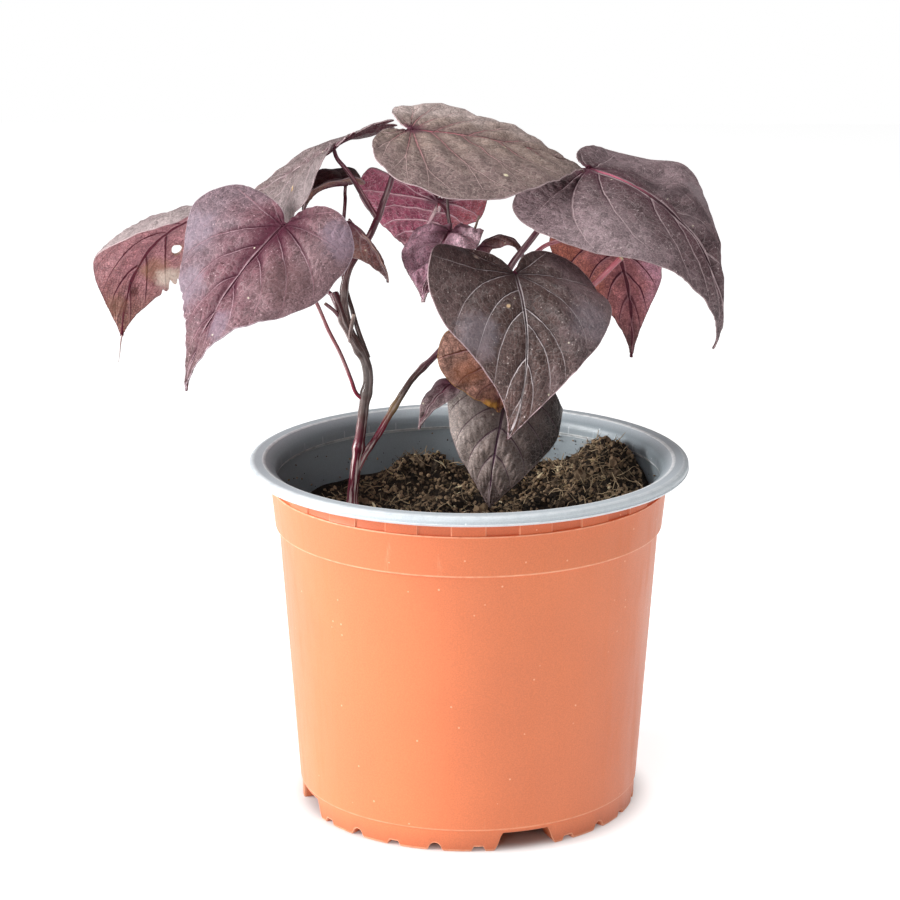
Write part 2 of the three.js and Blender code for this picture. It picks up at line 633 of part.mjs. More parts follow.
// Gives the middle surface its thickness, with the same triangles on both faces.
function makeLeaf(name, leaf) {
  const { points, triangles, margin } = bladeSurface(leaf);
  const normals = points.map(() => new THREE.Vector3());
  for (const [a, b, c] of triangles) {
    const edge = points[b].clone().sub(points[a]);
    const facing = edge.cross(points[c].clone().sub(points[a]));
    for (const corner of [a, b, c]) {
      normals[corner].add(facing);
    }
  }
  const half = BLADE_THICKNESS / 2;
  const upper = points.map((p, i) => p.clone().addScaledVector(normals[i].normalize(), half));
  const lower = points.map((p, i) => p.clone().addScaledVector(normals[i], -half));
  const count = points.length;
  const faces = triangles.flatMap(([a, b, c]) => [a, b, c, count + a, count + c, count + b]);
  margin.forEach((from, i) => {
    const to = margin[(i + 1) % margin.length];
    faces.push(from, count + from, count + to, from, count + to, to);
  });
  const solid = toSolid(indexedGeometry([...upper, ...lower], faces));
  return finish(name, toGeometry(solid), leaf.colour, 0.55);
}

// ---- stems --------------------------------------------------------------------------------

function stemRoute(stem) {
  const route = stem.route.map((p) => new THREE.Vector3(...p));
  if (stem.leaf) {
    const leaf = LEAVES[stem.leaf];
    const { up } = bladeAxes(leaf);
    const joint = new THREE.Vector3(...leaf.joint);
    route.push(joint.clone().addScaledVector(up, -STALK_END_RISE));
    route.push(joint.clone().addScaledVector(up, -STALK_END_GAP));
  }
  if (stem === STEMS.main) {
    route.unshift(new THREE.Vector3(STEM_BASE[0], STEM_BASE[1], SOIL_LEVEL - STEM_ROOT_DEPTH));
  }
  return new THREE.CatmullRomCurve3(route, false, 'centripetal');
}

// A round rod along a curve, which tapers from one radius to the other and is closed at its ends.
function rod(curve, [startRadius, endRadius]) {
  const steps = Math.max(3, Math.round(curve.getLength() / 5));
  const frames = curve.computeFrenetFrames(steps, false);
  const points = [];
  const triangles = [];
  for (let i = 0; i <= steps; i += 1) {
    const centre = curve.getPointAt(i / steps);
    const radius = THREE.MathUtils.lerp(startRadius, endRadius, i / steps);
    for (let k = 0; k < STEM_SIDES; k += 1) {
      const angle = k * 2 * Math.PI / STEM_SIDES;
      points.push(centre.clone()
        .addScaledVector(frames.normals[i], radius * Math.cos(angle))
        .addScaledVector(frames.binormals[i], radius * Math.sin(angle)));
    }
  }
  const [start, end] = [points.length, points.length + 1];
  points.push(curve.getPointAt(0), curve.getPointAt(1));
  const last = steps * STEM_SIDES;
  for (let k = 0; k < STEM_SIDES; k += 1) {
    const next = (k + 1) % STEM_SIDES;
    triangles.push(start, next, k);
    triangles.push(end, last + k, last + next);
    for (let i = 0; i < steps; i += 1) {
      const [here, there] = [i * STEM_SIDES, (i + 1) * STEM_SIDES];
      triangles.push(here + k, here + next, there + next);
      triangles.push(here + k, there + next, there + k);
    }
  }
  return toSolid(indexedGeometry(points, triangles));
}

function makeStems() {
  let stems = rod(stemRoute(STEMS.main), STEMS.main.radius);
  for (const stem of Object.values(STEMS).slice(1)) {
    stems = stems.add(rod(stemRoute(stem), stem.radius));
  }
  return finish('stems', toGeometry(stems), 0x5c4544, 0.6);
}

// ---- the whole plant ----------------------------------------------------------------------

const plant = new THREE.Group();
plant.add(makePot());
plant.add(makeSoil());
plant.add(makeStems());
for (const [name, leaf] of Object.entries(LEAVES)) {
  plant.add(makeLeaf(name, leaf));
}

const middle = new THREE.Box3().setFromObject(plant).getCenter(new THREE.Vector3());
plant.position.set(-middle.x, -middle.y, 0);

const sweetPotatoVine = new THREE.Group();
sweetPotatoVine.add(plant);

export default sweetPotatoVine;
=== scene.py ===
"""A young sweet potato vine in its nursery pot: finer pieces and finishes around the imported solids.

The plant is described in millimetres about the pot's axis, with the pot's foot at z = 0, as its
solids are. placed() turns such points into metres in the frame that everything is built in.
"""

import json
import math
from types import SimpleNamespace

import bmesh
import bpy
import numpy as np
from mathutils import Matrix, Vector
from mathutils.geometry import tessellate_polygon

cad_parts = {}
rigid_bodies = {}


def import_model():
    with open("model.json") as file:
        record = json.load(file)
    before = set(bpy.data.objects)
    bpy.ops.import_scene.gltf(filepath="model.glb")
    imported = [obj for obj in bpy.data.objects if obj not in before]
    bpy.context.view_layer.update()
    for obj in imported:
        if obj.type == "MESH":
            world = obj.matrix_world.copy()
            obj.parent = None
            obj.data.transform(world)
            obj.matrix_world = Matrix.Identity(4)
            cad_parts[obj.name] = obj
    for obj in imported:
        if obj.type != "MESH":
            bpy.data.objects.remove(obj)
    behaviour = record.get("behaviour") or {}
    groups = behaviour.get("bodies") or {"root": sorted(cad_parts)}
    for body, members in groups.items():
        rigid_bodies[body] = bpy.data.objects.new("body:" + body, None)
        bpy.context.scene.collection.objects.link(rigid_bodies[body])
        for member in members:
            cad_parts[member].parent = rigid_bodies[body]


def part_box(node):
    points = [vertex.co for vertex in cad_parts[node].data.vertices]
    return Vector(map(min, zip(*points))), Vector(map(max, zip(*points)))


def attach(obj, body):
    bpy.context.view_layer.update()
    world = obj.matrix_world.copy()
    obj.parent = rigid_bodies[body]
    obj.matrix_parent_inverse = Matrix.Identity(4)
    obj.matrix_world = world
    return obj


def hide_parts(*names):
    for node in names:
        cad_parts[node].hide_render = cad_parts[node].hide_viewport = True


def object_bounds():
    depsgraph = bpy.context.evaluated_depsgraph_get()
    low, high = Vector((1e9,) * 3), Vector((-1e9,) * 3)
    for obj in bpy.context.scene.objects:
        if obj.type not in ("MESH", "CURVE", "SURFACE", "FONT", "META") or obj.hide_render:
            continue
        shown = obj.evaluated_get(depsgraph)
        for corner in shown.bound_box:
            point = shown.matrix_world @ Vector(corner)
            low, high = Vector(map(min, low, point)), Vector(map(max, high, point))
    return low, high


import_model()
CAD_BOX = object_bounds()

# ---- the frame ----

MM = 0.001
POT_LOW, POT_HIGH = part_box("pot")
POT_AXIS = (POT_LOW + POT_HIGH) / 2
BOX_MARGIN = 0.3              # millimetres, half a blade's thickness and a little more


def placed(points):
    """Points in millimetres about the pot's axis, in metres in the part's frame."""
    return np.asarray(points, float) * MM + (POT_AXIS.x, POT_AXIS.y, 0.0)


def inside_box(points):
    """Points in millimetres about the pot's axis, held just inside the box of the solids."""
    axis = np.array([POT_AXIS.x, POT_AXIS.y, 0.0])
    low, high = ((np.array(corner[:]) - axis) / MM for corner in CAD_BOX)
    return np.clip(points, low + BOX_MARGIN, high - BOX_MARGIN)


def unit(vectors):
    """The same directions with length 1."""
    return vectors / np.maximum(np.linalg.norm(vectors, axis=-1, keepdims=True), 1e-12)


def smooth_step(low, high, value):
    """0 up to low, 1 from high on, and a smooth rise between them."""
    part = np.clip((value - low) / (high - low), 0, 1)
    return part * part * (3 - 2 * part)


def bell(offset, width):
    """1 where the offset is nothing, falling away over the width."""
    return np.exp(-(offset / width) ** 2)


def lattice_noise(x, y, seed):
    """Smooth noise from -1 to 1 over a lattice of unit squares."""
    column, row = np.floor(x).astype(np.int64), np.floor(y).astype(np.int64)
    right, up = x - column, y - row

    def corner(i, j):
        """A fixed random number of -1 to 1 at a corner of the square."""
        mixed = (column + i) * 374761393 + (row + j) * 668265263 + seed * 974634777
        mixed = (mixed ^ (mixed >> 13)) * 1274126177
        mixed = mixed ^ (mixed >> 16)
        return (mixed & 0xFFFF) / 32767.5 - 1

    right, up = right * right * (3 - 2 * right), up * up * (3 - 2 * up)
    low = corner(0, 0) * (1 - right) + corner(1, 0) * right
    high = corner(0, 1) * (1 - right) + corner(1, 1) * right
    return low * (1 - up) + high * up


def fractal_noise(x, y, octaves, seed):
    """Lattice noise with finer and weaker copies of itself."""
    total = np.zeros(np.shape(x))
    for octave in range(octaves):
        scale = 2.03 ** octave
        total += lattice_noise(x * scale, y * scale, seed + octave) / 2 ** octave
    return total


def spline(corners, steps=24):
    """A centripetal curve through the corners, as many close points."""
    corners = np.asarray(corners, float)
    ends = np.vstack([2 * corners[0] - corners[1], corners, 2 * corners[-1] - corners[-2]])
    pieces = []
    for i in range(len(corners) - 1):
        p0, p1, p2, p3 = ends[i:i + 4]
        t0 = 0.0
        t1 = t0 + np.linalg.norm(p1 - p0) ** 0.5
        t2 = t1 + np.linalg.norm(p2 - p1) ** 0.5
        t3 = t2 + np.linalg.norm(p3 - p2) ** 0.5
        t = np.linspace(t1, t2, steps, endpoint=False)[:, None]
        a1 = (t1 - t) / (t1 - t0) * p0 + (t - t0) / (t1 - t0) * p1
        a2 = (t2 - t) / (t2 - t1) * p1 + (t - t1) / (t2 - t1) * p2
        a3 = (t3 - t) / (t3 - t2) * p2 + (t - t2) / (t3 - t2) * p3
        b1 = (t2 - t) / (t2 - t0) * a1 + (t - t0) / (t2 - t0) * a2
        b2 = (t3 - t) / (t3 - t1) * a2 + (t - t1) / (t3 - t1) * a3
        pieces.append((t2 - t) / (t2 - t1) * b1 + (t - t1) / (t2 - t1) * b2)
    return np.vstack(pieces + [corners[-1:]])


def along_curve(points, shares):
    """Points at shares of a curve's length, from 0 at its start to 1 at its end."""
    steps = np.linalg.norm(np.diff(points, axis=0), axis=1)
    reached = np.concatenate([[0], np.cumsum(steps)])
    at = np.asarray(shares) * reached[-1]
    return np.stack([np.interp(at, reached, points[:, i]) for i in range(points.shape[1])], axis=-1)


# ---- meshes ----


def make_mesh(name, points, faces):
    """A mesh from points in metres and its faces."""
    mesh = bpy.data.meshes.new(name)
    mesh.from_pydata(points.tolist(), [], faces)
    return mesh


def make_object(name, data):
    """An object in the scene, at the origin."""
    made = bpy.data.objects.new(name, data)
    bpy.context.scene.collection.objects.link(made)
    return made


def band_faces(rings, steps, start=0, flip=False):
    """The faces between rings of points that follow one another, each ring of so many steps."""
    faces = []
    for ring in range(rings - 1):
        for k in range(steps):
            here = start + ring * steps + k
            after = start + ring * steps + (k + 1) % steps
            there, beyond = here + steps, after + steps
            faces.append((here, after, beyond, there) if flip else (here, there, beyond, after))
    return faces


def make_piece(name, points, faces, materials, slots=None, smooth_angle=50):
    """A piece from points in millimetres, its faces and the material slot of each face."""
    mesh = make_mesh(name, placed(points), faces)
    for material in materials:
        mesh.materials.append(material)
    if slots is not None:
        mesh.polygons.foreach_set("material_index", np.asarray(slots, np.int32))
    mesh.polygons.foreach_set("use_smooth", np.ones(len(mesh.polygons), bool))
    mesh.set_sharp_from_angle(angle=math.radians(smooth_angle))
    mesh.update()
    return make_object(name, mesh)


def finish_piece(piece, slot, *nodes):
    """Fixes a piece to the plant and hides the solids that it stands for. Its slot is not used."""
    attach(piece, "root")
    if nodes:
        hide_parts(*nodes)


def mesh_values(mesh, name, values, domain="POINT"):
    """A number at each point, or at each corner of each face, for a material to read."""
    attribute = mesh.attributes.new(name, "FLOAT", domain)
    attribute.data.foreach_set("value", np.asarray(values, np.float32))


# ---- materials ----


def paint(red, green, blue):
    """A screen colour of 0 to 255 as a shader colour."""
    shares = [value / 255 for value in (red, green, blue)]
    return tuple(s / 12.92 if s <= 0.04045 else ((s + 0.055) / 1.055) ** 2.4 for s in shares) + (1.0,)


class Nodes:
    """Builds a node tree from short calls. An input is a number, a colour or another node's output."""

    def __init__(self, tree):
        """The tree is a material's, a node group's or a set of geometry nodes."""
        self.tree = tree

    def fill(self, node, inputs):
        """Links a node's inputs, by name or number, to other nodes' outputs, or writes values there."""
        for key, value in dict(inputs).items():
            if isinstance(value, bpy.types.NodeSocket):
                self.tree.links.new(value, node.inputs[key])
            else:
                node.inputs[key].default_value = value

    def add(self, kind, inputs=(), **settings):
        """A node of any kind, its settings made before its inputs are filled."""
        made = self.tree.nodes.new(kind)
        for name, value in settings.items():
            setattr(made, name, value)
        self.fill(made, inputs)
        return made

    def node(self, kind, inputs=(), **settings):
        """A shader node."""
        return self.add("ShaderNode" + kind, inputs, **settings)

    def math(self, operation, *values, clamp=False):
        """The result of one sum. The values fill its inputs in order."""
        inputs = dict(enumerate(values))
        return self.node("Math", inputs, operation=operation, use_clamp=clamp).outputs[0]

    def times(self, first, *others):
        """The product of all the values."""
        for value in others:
            first = self.math("MULTIPLY", first, value)
        return first

    def fade(self, value, start, end, low=0.0, high=1.0):
        """low up to start, high from end on, and smooth between them. start may be above end."""
        inputs = {"Value": value, "From Min": start, "From Max": end, "To Min": low, "To Max": high}
        return self.node("MapRange", inputs, interpolation_type="SMOOTHSTEP").outputs["Result"]

    def mix(self, share, first, second, blend="MIX"):
        """The first colour at share 0 and the second, or the blend of both, at share 1."""
        inputs = {0: share, 6: first, 7: second}
        settings = {"data_type": "RGBA", "blend_type": blend, "clamp_factor": True}
        return self.node("Mix", inputs, **settings).outputs[2]

    def place(self, scale=(1, 1, 1), about=(0, 0, 0)):
        """The surface's own place, in metres, stretched and moved."""
        here = self.node("TexCoord").outputs["Object"]
        inputs = {"Vector": here, "Location": about, "Scale": scale}
        return self.node("Mapping", inputs).outputs[0]

    def noise(self, vector, size, detail=3.0, roughness=0.5):
        """Cloudy noise of 0 to 1 whose patches are about this many metres across."""
        inputs = {"Vector": vector, "Scale": 1 / size, "Detail": detail, "Roughness": roughness}
        return self.node("TexNoise", inputs).outputs["Fac"]

    def cells(self, vector, size, feature="F1", output="Distance"):
        """A pattern of cells about this many metres across."""
        inputs = {"Vector": vector, "Scale": 1 / size}
        return self.node("TexVoronoi", inputs, feature=feature).outputs[output]

    def cell_chance(self, vector, size, channel):
        """A number of 0 to 1 that is the same all over a cell. Each channel gives another one."""
        colour = self.cells(vector, size, output="Color")
        return self.node("SeparateColor", {"Color": colour}).outputs[channel]

    def attribute(self, name, output="Fac"):
        """What the mesh says at each point under this name."""
        return self.node("Attribute", attribute_name=name).outputs[output]

    def bump(self, height, distance, strength=1.0, invert=False):
        """A normal that makes a height look raised by a distance in metres."""
        inputs = {"Height": height, "Distance": distance, "Strength": strength}
        return self.node("Bump", inputs, invert=invert).outputs[0]


def new_material(name):
    """An empty material, its node builder and its surface shader."""
    material = bpy.data.materials.new(name)
    material.use_nodes = True
    nodes = Nodes(material.node_tree)
    shader = material.node_tree.nodes["Principled BSDF"]
    return material, nodes, shader


# ---- the pot ----

# Lengths in millimetres, and angles in degrees round from the front.
BAND_PANELS = 19
PANEL_PITCH = 360 / BAND_PANELS
PANEL_DEPTH = 0.45
FOOT_RADIUS = 50.2
FLOOR_UNDERSIDE = 6.8
FLOOR_TOP = 8.2
WALL = 1.1
NOTCHES = 4
FIRST_NOTCH = 19.5
SMALL_NOTCHES = 5
FIRST_SMALL_NOTCH = 16.0
SMALL_NOTCH_STEP = 14.5
LARGE_NOTCH = {"half_width": 9.0, "top_half_width": 7.0, "height": 5.4}
FLAT_NOTCH = {"half_width": 1.65, "height": 1.4}
ROUND_NOTCH = {"half_width": 2.0, "height": 2.3}
NOTCH_ROUNDING = 0.55
NOTCH_SHOULDER = 0.4
NOTCH_CLEARANCE = 0.3         # between the foot's notches and the floor's underside
NOTCH_REACH = 20.0            # how far round from its middle a notch is looked for
DRAIN_HOLES = 8
DRAIN_CIRCLE = 36.0
DRAIN_RADIUS = 3.5
DRAIN_STEPS = 24
POT_STEP = 2.0                # between the stations round the pot
STATION_GAP = 0.05            # the least between two stations

# The wall's section from the foot's inner edge round the outside, over the rim and down inside:
# radius, height, how far the corner is rounded, what bends it round the pot, and the strength of the painted
# highlight along it.
POT_SECTION = [
    (41.0, 6.8, 0.0, "plain", 0), (41.2, 0.0, 0.5, "foot", 0.5), (50.2, 0.0, 0.6, "foot", 0.7),
    (50.35, 6.4, 0.15, "plain", 0), (50.75, 6.7, 0.2, "plain", 0.6), (56.2, 84.7, 0.3, "plain", 0),
    (57.25, 85.0, 0.3, "plain", 0.8), (58.5, 97.2, 0.25, "plain", 1), (57.8, 97.3, 0.15, "band", 0),
    (57.8, 101.6, 0.2, "band", 0), (64.3, 101.75, 0.7, "plain", 0.4), (65.0, 102.6, 0.35, "plain", 0.5),
    (64.75, 102.75, 0.1, "plain", 0), (64.95, 104.0, 0.7, "plain", 0.2), (63.9, 104.8, 0.7, "plain", 0.4),
    (60.4, 104.8, 0.5, "plain", 0.9), (59.5, 104.2, 0.5, "plain", 0), (57.2, 102.6, 0.8, "plain", 0),
    (56.75, 101.0, 0.6, "plain", 0), (56.7, 98.8, 0.3, "plain", 1), (57.35, 98.45, 0.2, "plain", 0.9),
    (56.2, 85.1, 0.3, "plain", 1), (55.1, 84.8, 0.3, "plain", 0.5), (49.6, 7.0, 0.3, "plain", 0),
    (49.1, 1.1, 0.3, "gutter", 0), (42.3, 1.1, 0.3, "gutter", 0), (42.1, 8.2, 0.0, "plain", 0),
]
HIGHLIGHT_WIDTH = 0.22             # of the painted highlight line along an edge, beyond the rounding
TIGHT_ROUNDING = 0.35         # up to here a rounded corner needs one point fewer
MOST_ROUNDING = 0.45          # of the way to the next corner
MOST_HIGHLIGHT = 0.49
INNER_BAND = (98.7, 101.5)    # heights of the panels' edges on the inside
GREY_FROM = 101.7             # height on the outside from which the pot is grey


def rounded_section(section):
    """The section with its corners rounded, as (radius, height, kind, painted edge highlight) rows."""
    rows = []
    for i, (radius, height, rounding, kind, edge_highlight) in enumerate(section):
        here = np.array([radius, height])
        if rounding == 0:
            rows.append((radius, height, kind, edge_highlight))
            continue
        before = np.array(section[i - 1][:2]) - here
        after = np.array(section[i + 1][:2]) - here
        room_before, room_after = np.linalg.norm(before), np.linalg.norm(after)
        reach = min(rounding, MOST_ROUNDING * room_before, MOST_ROUNDING * room_after)
        start, end = here + unit(before) * reach, here + unit(after) * reach
        first = here + unit(before) * min(reach + HIGHLIGHT_WIDTH, MOST_HIGHLIGHT * room_before)
        last = here + unit(after) * min(reach + HIGHLIGHT_WIDTH, MOST_HIGHLIGHT * room_after)
        # a row on either side bounds the painted highlight line along this edge
        if edge_highlight:
            rows.append((first[0], first[1], kind, 0))
        for part in np.linspace(0, 1, 3 if rounding < TIGHT_ROUNDING else 4):
            point = (1 - part) ** 2 * start + 2 * part * (1 - part) * here + part ** 2 * end
            rows.append((point[0], point[1], kind, edge_highlight))
        if edge_highlight:
            rows.append((last[0], last[1], kind, 0))
    return rows


def notch_list():
    """Each notch of the foot: its middle in degrees round from the front, and its shape."""
    found = []
    for i in range(NOTCHES):
        middle = FIRST_NOTCH + i * 360 / NOTCHES
        found.append((middle, LARGE_NOTCH))
        for k in range(SMALL_NOTCHES):
            shape = ROUND_NOTCH if k % 2 else FLAT_NOTCH
            found.append((middle + FIRST_SMALL_NOTCH + k * SMALL_NOTCH_STEP, shape))
    return found


def notch_height(sideways, shape):
    """How high a notch reaches at a distance to the side of its middle, with eased shoulders."""
    offset = np.abs(sideways)
    half, height = shape["half_width"], shape["height"]
    if "top_half_width" in shape:
        top = shape["top_half_width"]
        return height * (1 - smooth_step(top - NOTCH_SHOULDER, half + NOTCH_ROUNDING, offset))
    if shape is ROUND_NOTCH:
        inside = height * np.sqrt(np.clip(1 - (offset / half) ** 2, 0, 1))
        shoulder = 0.5 * np.clip(1 - (offset - half) / NOTCH_ROUNDING, 0, 1) ** 2
        return np.where(offset < half, np.maximum(inside, 0.5), shoulder)
    return height * (1 - smooth_step(half - 0.35, half + NOTCH_ROUNDING, offset))


def round_stations():
    """Angles round the pot, in degrees from the front, crowded at the edges of panels and notches."""
    stations = set(np.round(np.arange(0, 360, POT_STEP), 4))
    for i in range(BAND_PANELS):
        for edge in (-PANEL_PITCH / 4, PANEL_PITCH / 4):
            for offset in (-0.3, -0.1, 0.1, 0.3):
                stations.add(round((i * PANEL_PITCH + edge + offset) % 360, 4))
    for middle, shape in notch_list():
        edges = [shape["half_width"], shape.get("top_half_width", shape["half_width"])]
        offsets = np.concatenate([np.linspace(edge - 0.5, edge + 0.7, 6) for edge in edges])
        if shape is not LARGE_NOTCH:
            offsets = np.concatenate([offsets, np.linspace(0, shape["half_width"], 5)])
        for sideways in np.concatenate([-offsets, offsets]):
            turn = math.degrees(math.asin(sideways / FOOT_RADIUS))
            stations.add(round((middle + turn) % 360, 4))
    ordered = sorted(stations)
    kept = [ordered[0]]
    for station in ordered[1:]:
        if station - kept[-1] > STATION_GAP:
            kept.append(station)
    return np.array(kept)


def turn_from(middle, degrees):
    """How far round each station lies from a notch's middle, from -180 to 180."""
    return (degrees - middle + 180) % 360 - 180


def foot_lift(degrees):
    """The height of the foot's lower edge at each station, cut away by the notches."""
    lift = np.zeros(len(degrees))
    for middle, shape in notch_list():
        turn = turn_from(middle, degrees)
        near = np.abs(turn) < NOTCH_REACH
        sideways = FOOT_RADIUS * np.sin(np.radians(np.where(near, turn, 0)))
        lift = np.maximum(lift, np.where(near, notch_height(sideways, shape), 0))
    return lift


def foot_turn(degrees, radius):
    """Turns the stations near a notch so that its sides run straight through the foot ring."""
    turned = degrees.copy()
    for middle, shape in notch_list():
        turn = turn_from(middle, degrees)
        sideways = FOOT_RADIUS * np.sin(np.radians(np.clip(turn, -NOTCH_REACH, NOTCH_REACH)))
        fade = 1 - smooth_step(shape["half_width"] + 0.8, shape["half_width"] + 3.5, np.abs(sideways))
        straight = np.degrees(np.arcsin(sideways / radius))
        turned += fade * (straight - turn) * (np.abs(turn) < NOTCH_REACH)
    return turned


def past_panel(degrees):
    """How far round each station lies from the nearest edge of a panel, negative on the panel."""
    offset = np.abs((degrees + PANEL_PITCH / 2) % PANEL_PITCH - PANEL_PITCH / 2)
    return offset - PANEL_PITCH / 4


def panel_rise(degrees):
    """1 on a panel of the band and 0 between panels, with eased edges."""
    return 1 - smooth_step(-0.1, 0.1, past_panel(degrees))


def panel_edge(degrees):
    """1 along the edges of the band's panels and 0 away from them."""
    return 1 - smooth_step(0.13, 0.28, np.abs(past_panel(degrees)))


def pot_highlight_and_shade(rows, rim_row, degrees):
    """How pale each point is with the painted highlight along edges and panel edges, and how far it takes
    the painted shade colour of the inside below the lip, the band under the lip and the foot's sides.
    """
    worn, deep = [], []
    for i, (_, height, kind, edge_highlight) in enumerate(rows):
        inner = i > rim_row
        edge = panel_edge(degrees)
        band = kind == "band" or (inner and INNER_BAND[0] < height < INNER_BAND[1])
        # the panels' edges get a painted highlight line, fainter inside
        worn.append(np.maximum(edge_highlight, edge * (0.35 if inner else 0.75) if band else 0) + 0 * edge)
        # painted shade: the whole inside below the lip, the band under the lip (darker between the panels),
        # and the foot's sides just above its lower edge
        if inner:
            deep.append(np.full(len(degrees), smooth_step(104.6, 103.0, height)))
        elif kind == "band":
            deep.append(0.4 + 0.15 * (1 - panel_rise(degrees)))
        else:
            deep.append(np.full(len(degrees), 0.6 if kind == "foot" and height > 0.5 else 0.0))
    return np.concatenate(worn), np.concatenate(deep)


def circle_points(radius, height, degrees):
    """Points round the pot, where 0 degrees is its front and the angle grows towards +X."""
    angle = np.radians(degrees)
    heights = np.broadcast_to(height, angle.shape)
    return np.stack([radius * np.sin(angle), -radius * np.cos(angle), heights], axis=-1)


def floor_faces(outer, holes, points):
    """The faces of the floor between its edge and its drain holes, as numbers of points."""
    loops = [outer] + holes
    vectors = [[Vector(points[i]) for i in loop] for loop in loops]
    numbers = [i for loop in loops for i in loop]
    return [tuple(numbers[i] for i in triangle) for triangle in tessellate_polygon(vectors)]


def facing(points, face):
    """The height part of a face's normal."""
    a, b, c = (np.asarray(points[i]) for i in face[:3])
    return np.cross(b - a, c - a)[2]


def pot_rings(rows, degrees):
    """The section's points at each station round the pot, bent by the notches and the panels."""
    lift = foot_lift(degrees)
    rise = panel_rise(degrees)
    top = FLOOR_UNDERSIDE - NOTCH_CLEARANCE
    rings = []
    for radius, height, kind, _ in rows:
        if kind == "foot":
            turned = foot_turn(degrees, radius)
            rings.append(circle_points(radius, height + lift * (top - height) / top, turned))
        elif kind == "gutter":
            share = (FLOOR_TOP - height) / (FLOOR_TOP - WALL)
            rings.append(circle_points(radius, height + lift * share, foot_turn(degrees, radius)))
        elif kind == "band":
            rings.append(circle_points(radius + PANEL_DEPTH * rise, height, degrees))
        else:
            rings.append(circle_points(radius, height, degrees))
    return np.concatenate(rings)


def make_pot(materials):
    """The pot's wall and foot round its section, and the floor with its drain holes."""
    degrees = round_stations()
    rows = rounded_section(POT_SECTION)
    points = pot_rings(rows, degrees)
    count = len(degrees)
    faces, slots = band_faces(len(rows), count, flip=True), []
    rim_row = max(range(len(rows)), key=lambda i: rows[i][1])
    for i in range(len(rows) - 1):
        grey = i > rim_row or min(rows[i][1], rows[i + 1][1]) >= GREY_FROM
        slots += [1 if grey else 0] * count
    holes = drain_rings()
    for level, edge, upwards in ((FLOOR_UNDERSIDE, 0, False), (FLOOR_TOP, len(rows) - 1, True)):
        loops = []
        for hole in holes:
            start = len(points)
            points = np.concatenate([points, np.column_stack([hole, np.full(len(hole), level)])])
            loops.append(list(range(start, start + len(hole))))
        outer = list(range(edge * count, (edge + 1) * count))
        for face in floor_faces(outer, loops, points):
            faces.append(face if (facing(points, face) > 0) == upwards else face[::-1])
            slots.append(1 if upwards else 0)
        if upwards:
            for low, high in zip(lower_loops, loops):
                for k in range(len(low)):
                    after = (k + 1) % len(low)
                    faces.append((low[k], high[k], high[after], low[after]))
                    slots.append(0)
        lower_loops = loops
    piece = make_piece("pot_moulding", points, faces, materials, slots, smooth_angle=35)
    for name, values in zip(("worn", "deep"), pot_highlight_and_shade(rows, rim_row, degrees)):
        spare = np.full(len(points) - len(values), 0.5)
        mesh_values(piece.data, name, np.concatenate([values, spare]))
    return piece


def drain_rings():
    """The drain holes' edges, each a circle in the floor."""
    rings = []
    for i in range(DRAIN_HOLES):
        middle = np.radians(i * 360 / DRAIN_HOLES)
        turn = np.linspace(0, 2 * np.pi, DRAIN_STEPS, endpoint=False)
        centre = DRAIN_CIRCLE * np.array([np.sin(middle), -np.cos(middle)])
        rings.append(centre + DRAIN_RADIUS * np.stack([np.cos(turn), np.sin(turn)], axis=-1))
    return rings


def plastic(name, body, cloud, deep, pale, roughness, highlight_share):
    """Satin moulded plastic: cloudy, finely grained and scuffed, with painted shade where the mesh asks for
    it and a painted highlight along its edges.
    """
    material, nodes, shader = new_material(name)
    here = nodes.place(about=(-POT_AXIS.x, -POT_AXIS.y, 0))
    clouds = nodes.noise(here, 0.05, detail=3, roughness=0.5)
    tint = nodes.mix(nodes.fade(clouds, 0.3, 0.75), body, cloud)
    # painted shade, as much as the mesh asks for
    tint = nodes.mix(nodes.attribute("deep"), tint, deep)
    grain = nodes.noise(here, 0.0004, detail=3, roughness=0.65)
    tint = nodes.mix(1.0, tint, nodes.fade(grain, 0.3, 0.7, 0.93, 1.07), "MULTIPLY")
    dots = nodes.cells(here, 0.0024)
    chance = nodes.cells(here, 0.0024, output="Color")
    lone = nodes.times(nodes.fade(dots, 0.15, 0.08), nodes.fade(chance, 0.82, 0.84))
    tint = nodes.mix(nodes.times(lone, 0.6), tint, pale)
    streaks = nodes.noise(nodes.place(scale=(1, 1, 0.12)), 0.004, detail=5, roughness=0.65)
    scuffs = nodes.times(nodes.fade(streaks, 0.62, 0.78), nodes.fade(clouds, 0.48, 0.6))
    tint = nodes.mix(nodes.times(scuffs, 0.2), tint, pale)
    # the painted highlight along edges, broken in places
    broken = nodes.fade(nodes.noise(here, 0.0025, detail=3), 0.3, 0.6, 0.45, 1.0)
    worn = nodes.times(nodes.attribute("worn"), broken)
    tint = nodes.mix(nodes.times(worn, highlight_share), tint, pale)
    rough = nodes.math("ADD", nodes.fade(streaks, 0.4, 0.8, -0.05, 0.12), roughness)
    relief = nodes.math("ADD", nodes.times(grain, 0.5), nodes.noise(here, 0.006, detail=3))
    nodes.fill(shader, {
        "Base Color": tint, "Roughness": rough, "Normal": nodes.bump(relief, 0.0002, 0.45)})
    return material


# ---- the soil ----

SOIL_LEVEL = 86.0
SOIL_RADIUS = 55.9
SOIL_LOWEST = 85.4
SOIL_CALM_EDGE = 2            # how far in from the wall the relief reaches its full height
HEAP_START, HEAP_RISE = 0.8, 6
